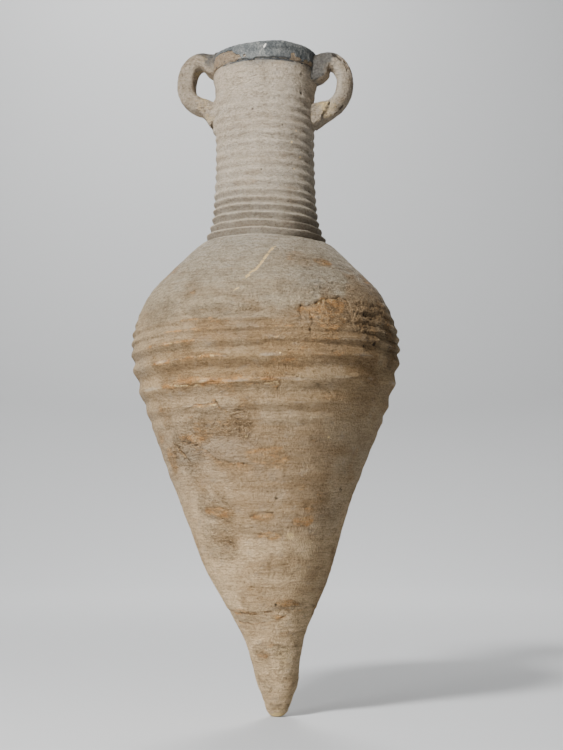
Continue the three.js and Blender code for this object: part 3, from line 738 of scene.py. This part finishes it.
def toeWall(angle, height):
    # the body's flaking and seam lines carry on down, and the spike is lumpier and paler
    place, outward, radius, slant = wallFrame(angle, height, toe["profile"])
    wall = angle, height, radius, slant
    bodyHeight = np.maximum(height, toe["bodyFrom"])
    upper, masks = bodyWall(angle, bodyHeight)
    joined = ease(height, *toe["joined"])
    bodyPlace = wallFrame(angle, bodyHeight, jar["profile"])[0]
    reliefAbove = np.einsum("...i,...i", upper - bodyPlace, outward)
    wander = layeredNoise(place, 7, 61, 2)
    drift = layeredNoise(place, 20, 62, 2)
    patch = patchField(wall, toe["rough"], 0.4 * drift)
    rough = np.clip(patch + 0.3 * ease(drift, 0, 0.8), 0, 1)
    layers = layeredNoise(place + wander[..., None], [10, 10, 5], 63, 3)
    chips = ease(softNoise(place, [4.4, 4.4, 2.0], 65) + 0.3 * drift, 0.45, 0.85)
    relief = 0.55 * softNoise(place, 16, 64) + 0.25 * wander + 0.1 * softNoise(place, [40, 40, 2.6], 66)
    relief -= 0.6 * rough * (steps(1.5 * layers + 1.5, 0.4) / 1.5 - 0.4) + 0.35 * chips
    relief *= ease(height, 0, 6)
    spot, level, across, up = toe["chip"]
    edge = fade(arc(radius, angle, spot), across) * fade(height - level + 0.8 * wander, up)
    relief -= 0.9 * edge
    relief = relief * (1 - joined) + reliefAbove * joined
    own = {
        "ochre": patchField(wall, toe["ochre"], 0.4 * drift),
        "dark": np.clip(0.45 * chips * (0.3 + rough) + 0.7 * edge, 0, 1),
        "cream": 0.9 * (1 - ease(height + 1.5 * wander, 1.5, 4.5)) + 0.3 * ease(drift, 0.2, 0.8),
        "hollow": np.zeros_like(relief),
        "warm": 0.3 + 0 * relief,
        "rough": rough,
    }
    mixed = {key: own[key] * (1 - joined) + np.broadcast_to(masks[key], relief.shape) * joined
             for key in own}
    # the seam's line runs on over the join
    for key in ("dark", "ochre"):
        mixed[key] = np.where(height > toe["bodyFrom"], np.maximum(mixed[key], masks[key]), mixed[key])
    return place + outward * relief[..., None], mixed


toeRows = np.concatenate([[0, 0.5, 1.2, 2.2], np.linspace(3.4, 96, 112)])
thrownPiece("toeSpike", toeWall, roundAngles(260), toeRows, "pale_clay", ["toe"], bodyClay,
            after=[(36.6, 95.8), (18.3, 69.1), (15.3, 66.1)], poles=(True, True))
print("toe made")


# Neck

neck = {
    # height, radius over the crests
    "profile": [(448, 61.2), (452, 60.4), (455, 59.3), (460, 57), (467, 54.2), (475, 52.3),
                (484, 51), (495, 50.1), (508, 49.3), (520, 48.6), (540, 48.2), (560, 48.5),
                (580, 48.9), (600, 49.2), (615, 49.5), (624, 49.8)],
    "ochre": [(-55, 498.2, 16, 6, 0.35), (-100.1, 504.2, 16, 5, 0.5), (-95.1, 512.2, 14, 4, 0.4),
              (40, 520, 20, 10, 0.4)],
    "pits": [(-35, 593.3, 1.6), (-84.5, 515, 1.1), (-95.2, 574.3, 1.4), (-118.5, 600.3, 1.1),
             (-60, 559.1, 0.9), (-19.8, 499.1, 1.3), (50, 590, 1.5), (120, 540, 1.4),
             (95, 480, 1.3)],
    "white": [(-48.8, 543.4, 1.1), (-35.7, 530.5, 1), (-45, 517.7, 0.9), (-41.8, 555.4, 0.9)],
    # clay smeared on where a handle meets the neck: angle, height, half width, half height, thickness
    "smears": [(186, 575, 10, 13, 3.4), (184, 588, 13, 8, 3), (2, 580, 12, 9, 2.4),
               (5, 571, 7, 6, 2.2), (180, 617, 15, 6, 1.8), (0, 613, 14, 9, 1.8)],
    # heights between which the ridges die down, their painted shade and highlight stop, soot begins and
    # the painted shade under the collar comes in
    "calm": (584, 606), "paintedLightFade": (585, 607), "sooty": (614, 624), "shaded": (620.5, 623),
}


def neckWall(angle, height):
    # crests lie on the profile and the hollows between them go in, deepest and keenest at the foot
    place, outward, radius, slant = wallFrame(angle, height, neck["profile"])
    coil = ridges["neck"]
    wander = layeredNoise(place, 8, 71, 2)
    drift = layeredNoise(place, 24, 72, 3)
    rise = np.maximum(height - coil["crests"][1], 0)
    foot = np.exp(-(rise / 34) ** 2)
    depth = 1.1 + (coil["depth"] - 1.1) * np.exp(-(rise / 27) ** 1.6)
    depth = depth * (1 + 0.3 * softNoise(place, 22, 73)) * (1 - 0.85 * ease(height, *neck["calm"]))
    phase = coilPhase(coil, angle, height) + 0.05 * softNoise(place, 26, 74)
    phase += 0.03 * softNoise(place, 9, 75)
    swell, under = coilSwell(phase, coil["valley"], 1.25, 0.06)
    smooth = 0.5 + 0.5 * np.cos(2 * np.pi * phase)
    swell = swell * foot + smooth * (1 - foot)
    under = under * foot + (1 - smooth) * (1 - foot)
    relief = -depth * (1 - swell)
    relief += 0.45 * softNoise(place, 60, 76) + 0.2 * softNoise(place, 20, 77)
    relief += 0.1 * softNoise(place, [90, 90, 2.6], 78) + 0.09 * layeredNoise(place, [5, 5, 3], 79, 2)
    chips = ease(softNoise(place, [3.6, 3.6, 1.8], 80) + 0.2 * drift, 0.58, 0.9)
    relief -= 0.3 * chips
    dark = 0.35 * chips
    # painted shade in the hollows and under the neck's crests, painted highlight on the crests
    hollow = under * (0.34 + 0.76 * foot) + 0.2 * (1 - swell) * foot - (0.3 + 0.5 * foot) * swell ** 6
    hollow = hollow * (1 - ease(height, *neck["paintedLightFade"])) * (1 + 0.4 * drift)
    cream = np.zeros_like(relief)
    for spot, level, size in neck["pits"]:
        away = spotAway((angle, height, radius, 1), spot, level)
        pit = ease(size - away + 0.4 * wander, -0.5, 0.6)
        dark = np.maximum(dark, 0.9 * pit)
        relief -= 0.9 * pit
    for spot, level, size in neck["white"]:
        away = spotAway((angle, height, radius, 1), spot, level)
        cream = np.maximum(cream, 0.9 * ease(size - away, -0.5, 0.4))
    for middle, level, across, up, thick in neck["smears"]:
        sideways = arc(radius, angle, middle) / across
        relief += thick * np.exp(-sideways ** 4 - ((height - level) / up) ** 4) * (1 + 0.3 * wander)
    ochre = patchField((angle, height, radius, slant), neck["ochre"], 0.4 * drift)
    # the dark mask takes painted shade just under the collar
    masks = {"ochre": ochre, "cream": cream, "hollow": hollow,
             "dark": np.maximum(dark, 0.55 * ease(height, *neck["shaded"])),
             "soot": 0.5 * ease(height + 3 * drift, *neck["sooty"]),
             "rough": 0.1 + 0.2 * ease(drift, 0.2, 0.9)}
    return place + outward * relief[..., None], masks


neckRows = np.linspace(448.5, 623.2, 206)
thrownPiece("neckTube", neckWall, roundAngles(400), neckRows, "neck_clay", ["neck"], neckClay,
            after=[(45.4, 623.2), (45.4, 630.8), (41, 630.8), (40.3, 560), (39.9, 499), (43.3, 465),
                   (45.8, 442.2), (50.3, 442.2), (50.3, 448.3)], loop=True)
print("neck made")


# Rim and its coat of pitch

rim = {
    # radii and heights of the collar's section
    "outer": 50.2, "inner": 43.9, "bore": 41.2, "seat": 45.7,
    "foot": 623.3, "top": 638.7, "seatTop": 631.1,
    "outside": (47.5, 49.5),  # relief comes in between these radii
    "arc": 50,  # lengths round the rim are measured at this radius
    "tilt": 1.3, "tilted": (618, 628),  # the lip is higher on the right, from these heights up
    "coat": 1.15, "coatFoot": 621.5, "coatEdge": 623.7,
    # angle, height, half width, half height, strength: places where the pitch has worn off
    "bare": [(-156, 628, 16, 8, 1), (-140, 630, 15, 8, 1), (-127, 630, 11, 6, 1),
             (-117, 626.5, 9, 3.2, 1), (-49, 626.2, 2.4, 3, 1), (-41, 624.6, 7, 1.9, 1),
             (-30, 624.9, 4, 2, 1), (-18, 624.8, 6, 1.8, 0.9), (60, 627, 10, 3, 1),
             (118, 630, 7, 4, 0.9)],
    "drips": [(-96, 3.5, 2.2), (-78, 2.5, 0.5), (70, 5, 1.5), (140, 4, 1.8)],  # angle, half width, drop
    "lumps": [(-64, 17, 1.5), (40, 12, 0.9), (160, 12, 0.8)],  # angle, half width, height
    "fleck": (-81, 634.3),  # a pale fleck: angle, height
}


def lengthsAlong(line):
    # the length of a line up to each of its points
    return np.concatenate([[0], np.cumsum(np.linalg.norm(np.diff(line, axis=0), axis=1))])


def sectionPath(corners, fillet, spacing):
    # a closed or open line through corners, each corner cut by a fillet, with even steps
    points = np.array(corners, float)
    line = [points[0]]
    for before, corner, after in zip(points[:-2], points[1:-1], points[2:]):
        into, out = corner - before, after - corner
        cut = min(fillet, 0.45 * np.linalg.norm(into), 0.45 * np.linalg.norm(out))
        start = corner - into / np.linalg.norm(into) * cut
        end = corner + out / np.linalg.norm(out) * cut
        for t in np.linspace(0, 1, 6):
            line.append((1 - t) ** 2 * start + 2 * t * (1 - t) * corner + t ** 2 * end)
    line.append(points[-1])
    line = np.array(line)
    length = lengthsAlong(line)
    at = np.linspace(0, length[-1], max(2, int(length[-1] / spacing)))
    return np.stack([np.interp(at, length, line[:, k]) for k in (0, 1)], -1)


rimAngles = roundAngles(420)


def ringGrid(path, relief=0.0, tilt=0.0):
    # a section path (radius, height) carried round the axis, moved out along its own normal by relief
    along = np.gradient(path, axis=0)
    along /= np.linalg.norm(along, axis=1)[:, None]
    normal = np.stack([along[:, 1], -along[:, 0]], -1)
    radius = path[:, None, 0] + normal[:, None, 0] * relief
    height = path[:, None, 1] + normal[:, None, 1] * relief
    grid = onRing(rimAngles[None, :], height, radius)
    grid[..., 2] += tilt * ease(height, *rim["tilted"]) * grid[..., 0] / rim["arc"]
    return grid


rimPath = sectionPath([(rim["seat"], rim["foot"] - 0.1), (rim["outer"], rim["foot"]),
                       (rim["outer"], rim["top"]), (rim["inner"], rim["top"]),
                       (rim["bore"], rim["seatTop"]), (rim["seat"], rim["seatTop"]),
                       (rim["seat"], rim["foot"] + 1)], 1.6, 0.8)
rimBase = ringGrid(rimPath)
rimDrift = layeredNoise(rimBase, 14, 91, 3)
rimOutside = ease(rimBase[..., 0] ** 2 + rimBase[..., 1] ** 2, *(edge ** 2 for edge in rim["outside"]))
bareClay = patchField((rimAngles[None, :], rimPath[:, None, 1], rim["arc"], 1), rim["bare"],
                      0.3 + 0.35 * rimDrift)
rimRelief = rimOutside * (0.35 * rimDrift + 0.2 * layeredNoise(rimBase, 4, 92, 2) + 0.75 * bareClay)
addSurface("rimCollar", ringGrid(rimPath, rimRelief, rim["tilt"]), "neck_clay", ["rim"], neckClay,
           {"ochre": 0.6 * ease(rimDrift, 0.1, 0.8) * bareClay, "cream": 0.15 * bareClay,
            "warm": 1.4 * bareClay, "hollow": 0.25 * bareClay, "dark": 0.3 * ease(-rimDrift, 0.4, 1),
            "rough": 0.5 + 0 * rimDrift}, loop=True)

# the coat's core hides in the collar, and where the coat has worn off its face sinks in there too
coatCorners = [(rim["outer"], rim["coatFoot"]), (rim["outer"], rim["top"]), (rim["inner"], rim["top"]),
               (rim["bore"] + 0.6, rim["seatTop"] - 1)]
coreCorners = [*((r - 1.4, h) for r, h in coatCorners[:2]),
               *((r + 0.6, h - 1.4) for r, h in coatCorners[2:])]
coatPath = sectionPath(coatCorners, 3.6, 0.42)
corePath = sectionPath(coreCorners, 1, 1.2)
coatBase = ringGrid(coatPath)
coatDrift = layeredNoise(coatBase, 10, 95, 3)
coatFine = layeredNoise(coatBase, 3, 96, 2)
level, spread = coatPath[:, None, 1], rimAngles[None, :]
share = np.linspace(0, 1, len(coatPath))[:, None]
drop = sum(deep * fade(arc(rim["arc"], spread, at), wide) for at, wide, deep in rim["drips"])
lowEdge = rim["coatEdge"] + 0.4 * coatDrift[:1] - drop
covered = ease(level - lowEdge + 0.3 * coatFine, -0.3, 0.5) + ease(share, 0.45, 0.5)
covered = np.clip(covered, 0, 1) * ease(0.98 - share, 0, 0.05)
worn = patchField((spread, level, rim["arc"], 1), rim["bare"], 0.35 * coatDrift + 0.4 * coatFine)
worn *= 1 - ease(share, 0.42, 0.5)
ragged = 0.2 * coatFine + 0.3 * softNoise(coatBase, [3.4, 3.4, 1.5], 97)
covered = covered * (1 - ease(worn + ragged * (worn > 0), 0.4, 0.55))
thickness = rim["coat"] * (1 + 0.25 * coatDrift + 0.16 * coatFine)
crown = ease(share, 0.3, 0.42) * ease(0.95 - share, 0, 0.2)
lump = sum(high * fade(arc(rim["arc"], spread, at), wide) for at, wide, high in rim["lumps"])
coatRelief = np.where(covered > 0.01, covered * (thickness + 0.5) - 0.5, -0.5) + lump * crown * covered
outerCoat = ringGrid(coatPath, coatRelief, rim["tilt"])
innerCoat = ringGrid(corePath, tilt=rim["tilt"])
fleckAngle, fleckLevel = rim["fleck"]
fleckAway = np.hypot(arc(rim["arc"], spread, fleckAngle) - 0.5 * (level - fleckLevel),
                     0.45 * (level - fleckLevel))
coatMasks = {"cream": ease(0.9 - fleckAway, -0.3, 0.3),
             "dark": 0.6 * (1 - ease(level - lowEdge, 0, 2)) * (share < 0.45)}
coatMasks = {key: np.pad(value, ((0, len(corePath)), (0, 0))) for key, value in coatMasks.items()}
addSurface("rimPitch", np.concatenate([outerCoat, innerCoat[::-1]]), "rim_pitch", ["lip_pitch"],
           coatPitch, coatMasks, loop=True)
print("rim made")


# Lining of pitch inside

liningHeights = np.concatenate([np.linspace(85, 441, 110), np.linspace(442.6, 628.5, 90)])
liningRadius = np.where(liningHeights < 442, throughStations(inside["cavity"], liningHeights),
                        throughStations(inside["bore"], liningHeights))
liningAngles = roundAngles(240, 0.0)
liningBase = onRing(liningAngles[None, :], liningHeights[:, None], liningRadius[:, None])
runs = softNoise(liningBase, [9, 9, 70], 101) + 0.5 * softNoise(liningBase, [4, 4, 30], 102)
liningIn = liningRadius[:, None] - 0.35 * np.maximum(runs, -0.6)
liningIn -= 0.25 * layeredNoise(liningBase, 12, 103, 2)
liningOut = liningRadius[:, None] + inside["lining"] + 0 * liningIn
liningGrid = np.concatenate([hiddenRows(liningAngles, [(3, 80.4), (9, 80.5)]),
                             onRing(liningAngles[None, :], liningHeights[:, None], liningOut),
                             onRing(liningAngles[None, :], liningHeights[::-1, None], liningIn[::-1]),
                             hiddenRows(liningAngles, [(9, 81.4), (4, 81.2)])])
addSurface("pitchLining", liningGrid, "lining_pitch", ["pitch_lining"], liningPitch, poles=(True, True))
print("lining made")


# Handles: a strap carried along a line from inside the rim, out, down and back into the neck

handles = {
    # distance from the axis, height, half thickness, half width, squareness of the section
    "left": {"turn": 180, "node": "handle_left", "crease": (0.12, 0.1), "stations": [
        (45, 632.6, 12, 17, 5), (50, 632.8, 11.8, 15.5, 4.5), (57, 636.2, 8.9, 13.2, 3.4),
        (63.5, 638, 8, 13, 3), (70.8, 635.2, 8.3, 13, 3), (76.6, 628, 8.7, 13, 3.2),
        (79.2, 617.5, 9.1, 13, 3.2), (79, 607.5, 9.2, 13, 3.2), (75.2, 598.8, 9, 13, 3.2),
        (68, 593.6, 8.6, 13, 3.4), (60, 590.4, 8.5, 12.8, 3.6), (54, 586.5, 9.8, 12.6, 4),
        (45, 579, 13.5, 14, 5)]},
    "right": {"turn": 0, "node": "handle_right", "crease": (0.44, -0.1), "stations": [
        (45, 622.4, 13.6, 15, 6), (50, 623.6, 14, 14.6, 6), (53.6, 625.4, 13, 14.2, 5),
        (57.6, 629, 10.2, 13.4, 4.2), (64.3, 632, 8.2, 13, 3.6), (70.6, 630, 8.6, 13, 3.4),
        (75.8, 624.6, 8.6, 13, 3.2), (79, 617, 8.3, 13, 3.2), (79.4, 607, 8.1, 13, 3.2),
        (77.3, 597.4, 8.3, 13, 3.2), (72.2, 589.6, 8.8, 13, 3.4), (65, 584.4, 9, 12.8, 4),
        (57, 581.2, 9.2, 12.8, 5), (45, 576.2, 11.5, 14, 6)]},
    # share of the length, angle in the section, half length, half angle, depth
    "marks": {"left": [(0.16, 55, 0.05, 16, 0.4), (0.42, 80, 0.02, 5, 0.5)],
              "right": [(0.29, 72, 0.045, 11, 0.85), (0.345, 60, 0.06, 7, 1),
                        (0.38, 72, 0.05, 6, 1), (0.25, 62, 0.02, 8, 0.8), (0.33, 48, 0.03, 6, 0.9),
                        (0.72, 38, 0.03, 16, 0.9), (0.76, 32, 0.03, 9, 0.7),
                        (0.55, 50, 0.015, 5, 0.4)]},
    "around": 120, "along": 200,  # points of the mesh
    # shares of the length where the crease starts, is full, fades and ends
    "creased": (0.2, 0.34, 0.76, 0.88),
}


def strapGrid(side, turn, stations, crease):
    # section across the line: |cos|^(2/n) times half thickness by |sin|^(2/n) times half width
    stations = np.array(stations, float)
    length = lengthsAlong(stations[:, :2])
    at = np.linspace(0, length[-1], handles["along"])
    out, height, thick, wide, square = (
        throughStations(np.stack([length, stations[:, k]], -1), at)[:, None] for k in range(5))
    across = np.concatenate([-np.gradient(height[:, 0])[:, None], np.gradient(out[:, 0])[:, None]], -1)
    across /= np.linalg.norm(across, axis=1)[:, None]
    section = np.linspace(0, 360, handles["around"], endpoint=False)[None, :]
    cosine, sine = np.cos(np.radians(section)), np.sin(np.radians(section))
    away = np.sign(cosine) * np.abs(cosine) ** (2 / square)
    sideways = np.sign(sine) * np.abs(sine) ** (2 / square)
    # both edges of the strap are drawn to a crease, and a finger left a groove along its back
    fold, middle = crease
    share = at[:, None] / length[-1]
    fold = fold * between(share, *handles["creased"])
    sideways = sideways * (1 - fold * np.sqrt((away - middle) ** 2 + 0.008))
    away = away * (1 - 0.1 * np.exp(-(sideways / 0.45) ** 2) * (cosine > 0))
    grid = np.stack([out + across[:, :1] * thick * away, wide * sideways + 0 * away,
                     height + across[:, 1:] * thick * away], -1)
    line = np.stack([out + 0 * away, 0 * away, height + 0 * away], -1)
    outward = grid - line
    outward /= np.linalg.norm(outward, axis=-1)[..., None]
    seeded = grid + [0, 0, 400 * (side == "left")]
    drift = layeredNoise(seeded, 16, 111, 3)
    fine = layeredNoise(seeded, 5, 112, 3)
    chips = ease(softNoise(seeded, 3.4, 113) + 0.2 * drift, 0.6, 0.9)
    relief = 0.45 * drift + 0.22 * fine - 0.35 * chips
    toPhoto = -1 if side == "right" else 1
    front = ease(sideways * toPhoto, 0.35, 0.6)
    dark, facet = 0.3 * chips, 0
    if side == "right":
        # the root's underside is drawn to a thin web
        web = ease(-away, 0, 0.9) * (1 - ease(share, 0.16, 0.28)) * ease(sideways, 0, 0.2)
        grid[..., 1] -= 0.62 * web * grid[..., 1]
        # the foot of the right handle broke along a slanting line, and a facet falls back behind it
        past = (grid[..., 0] - 63) - 0.47 * (grid[..., 2] - 586) + 1.2 * fine
        low = front * ease(share, 0.73, 0.78)
        grid[..., 1] += low * ease(past, -0.4, 0.8) * np.clip(3.4 - 0.2 * past, 0, 4)
        # painted highlight: the facet in front of the break is lightened through the cream mask
        facet = low * ease(-past, -0.3, 0.8)
        # painted shade along the break and on the part that falls back behind it
        dark += 0.4 * low * fade(past - 0.5, 0.5) + 0.22 * low * ease(past, 0, 1) * ease(9 - past, 0, 7)
    for place, around, size, spread, depth in handles["marks"][side]:
        hit = fade(share - place, size) * fade(apart(section, toPhoto * around) + 3 * fine, spread)
        relief -= 1.4 * depth * ease(hit + 0.3 * fine, 0.35, 0.6)
        dark = np.maximum(dark, 0.95 * depth * ease(hit + 0.3 * fine, 0.35, 0.65))
    grid = grid + outward * relief[..., None]
    top = grid[..., 2] - 634
    reach = (2 + top * 0.9 - (grid[..., 0] - 55)) if side == "left" else (
        17 + 0.25 * top - (grid[..., 0] - 54) - 12 * ease(-away, 0.8, 0.98))
    upper = ease(across[:, 1:] * away, 0.2, 0.8) * (7 if side == "right" else 3)
    soot = ease(reach + upper + 5 * drift + 3 * fine, -4, 7) * ease(0.34 - share, 0, 0.08)
    # painted highlight: a pale strip along the front of the crease, given to the hollow mask below 0
    strip = front * fade(away + 0.5, 0.3) * fold
    # half a turn or none, about the axis of the neck
    turned = grid * [math.cos(math.radians(turn)), math.cos(math.radians(turn)), 1]
    turned[..., 0] += jar["lean"][-1][1]
    # the handles' cream mask is painted light: a patchy lightening that offsets their shade, and the
    # facet's painted highlight
    masks = {"soot": soot, "dark": np.maximum(dark, (0.26 if side == "right" else 0) * soot),
             "cream": 0.4 * ease(drift, 0, 0.8) + 0.25 * facet, "rough": 0.45 + 0 * relief,
             "ochre": 0.4 * ease(fine, 0.3, 1), "warm": 0.2 + 0 * relief, "hollow": -2 * strip}
    return turned, masks


for side in ("left", "right"):
    strap = handles[side]
    grid, masks = strapGrid(side, strap["turn"], strap["stations"], strap["crease"])
    addSurface("handle" + side.capitalize(), grid[:, ::-1], "pale_clay", [strap["node"]], handleClay,
               {key: value[:, ::-1] for key, value in masks.items()}, poles=(True, True), crease=70)
print("handles made")


# Studio: a pale bowl for floor and backdrop, the key light high on the left, a weak one low on the
# left, one on the backdrop and one behind the jar

studio = {
    "floor": (0.52, 0.526, 0.53, 1),
    # metres: radius of the floor, radius and height of the wall
    "flat": 2.4, "reach": 4.5, "tall": 4.0,
    "key": {"at": (-0.75, -1.9, 2.0), "size": 0.45, "power": 130},
    "low": {"at": (-0.9, -1.3, 0.0), "size": 0.8, "power": 8, "aim": (0, 0, -0.12), "spread": 70},
    "back": {"at": (-0.9, 2.9, 2.7), "size": 1.2, "power": 60, "aim": (-0.8, 4.5, 0.9)},
    "rear": {"at": (-0.4, 2.45, 2.1), "size": 1.0, "power": 84},
    "sky": (0.95, 0.97, 1, 1), "skyPower": 0.04,
    "camera": {"azimuth": 9, "away": 1.356, "height": 0.02, "aside": 0.0155, "pitch": 5.845,
               "lens": 67.58},
}


def studioBowl():
    # a flat floor, a quarter circle up and an upright wall, turned round the axis
    bend = np.radians(np.linspace(0, 90, 24))
    curve = studio["reach"] - studio["flat"]
    radius = np.concatenate([[0.02, 0.3, 0.8, 1.6], studio["flat"] + curve * np.sin(bend),
                             [studio["reach"]]])
    rise = np.concatenate([[0, 0, 0, 0], curve * (1 - np.cos(bend)), [studio["tall"]]])
    turn = np.linspace(0, 2 * np.pi, 128, endpoint=False)[::-1]
    grid = np.stack([radius[:, None] * np.cos(turn), radius[:, None] * np.sin(turn),
                     rise[:, None] + 0 * turn], -1)
    material = bpy.data.materials.new("studioPaper")
    material.use_nodes = True
    shader = material.node_tree.nodes["Principled BSDF"]
    shader.inputs["Base Color"].default_value = studio["floor"]
    shader.inputs["Roughness"].default_value = 0.95
    shader.inputs["Specular IOR Level"].default_value = 0.1
    bowl = addSurface("studioFloor", grid * 1000, None, None, material, poles=(True, False))


def addLight(name, at, size, power, aim=(0, 0, 0.15), spread=180):
    # a disk lamp at a place, turned towards its aim
    data = bpy.data.lights.new(name, "AREA")
    data.shape = "DISK"
    data.size = size
    data.energy = power
    data.spread = math.radians(spread)
    x, y, z = np.array(aim) - np.array(at)
    pitch = math.radians(90) + math.atan2(z, math.hypot(x, y))
    addObject(name, data, at, (pitch, 0, math.atan2(-x, y)))


def addCamera(azimuth, away, height, aside, pitch, lens):
    # on a circle round the axis, moved aside and pitched up
    data = bpy.data.cameras.new("camera")
    data.sensor_width = 36
    data.lens = lens
    turn = math.radians(azimuth)
    at = (away * math.sin(turn) + aside * math.cos(turn),
          aside * math.sin(turn) - away * math.cos(turn), height)
    bpy.context.scene.camera = addObject("camera", data, at, (math.radians(90 + pitch), 0, turn))


studioBowl()
for name in ("key", "low", "back", "rear"):
    addLight(name + "Light", **studio[name])
addCamera(**studio["camera"])
world = bpy.data.worlds.new("studioSky")
world.use_nodes = True
background = world.node_tree.nodes["Background"]
background.inputs["Color"].default_value = studio["sky"]
background.inputs["Strength"].default_value = studio["skyPower"]
bpy.context.scene.world = world
print("studio made")
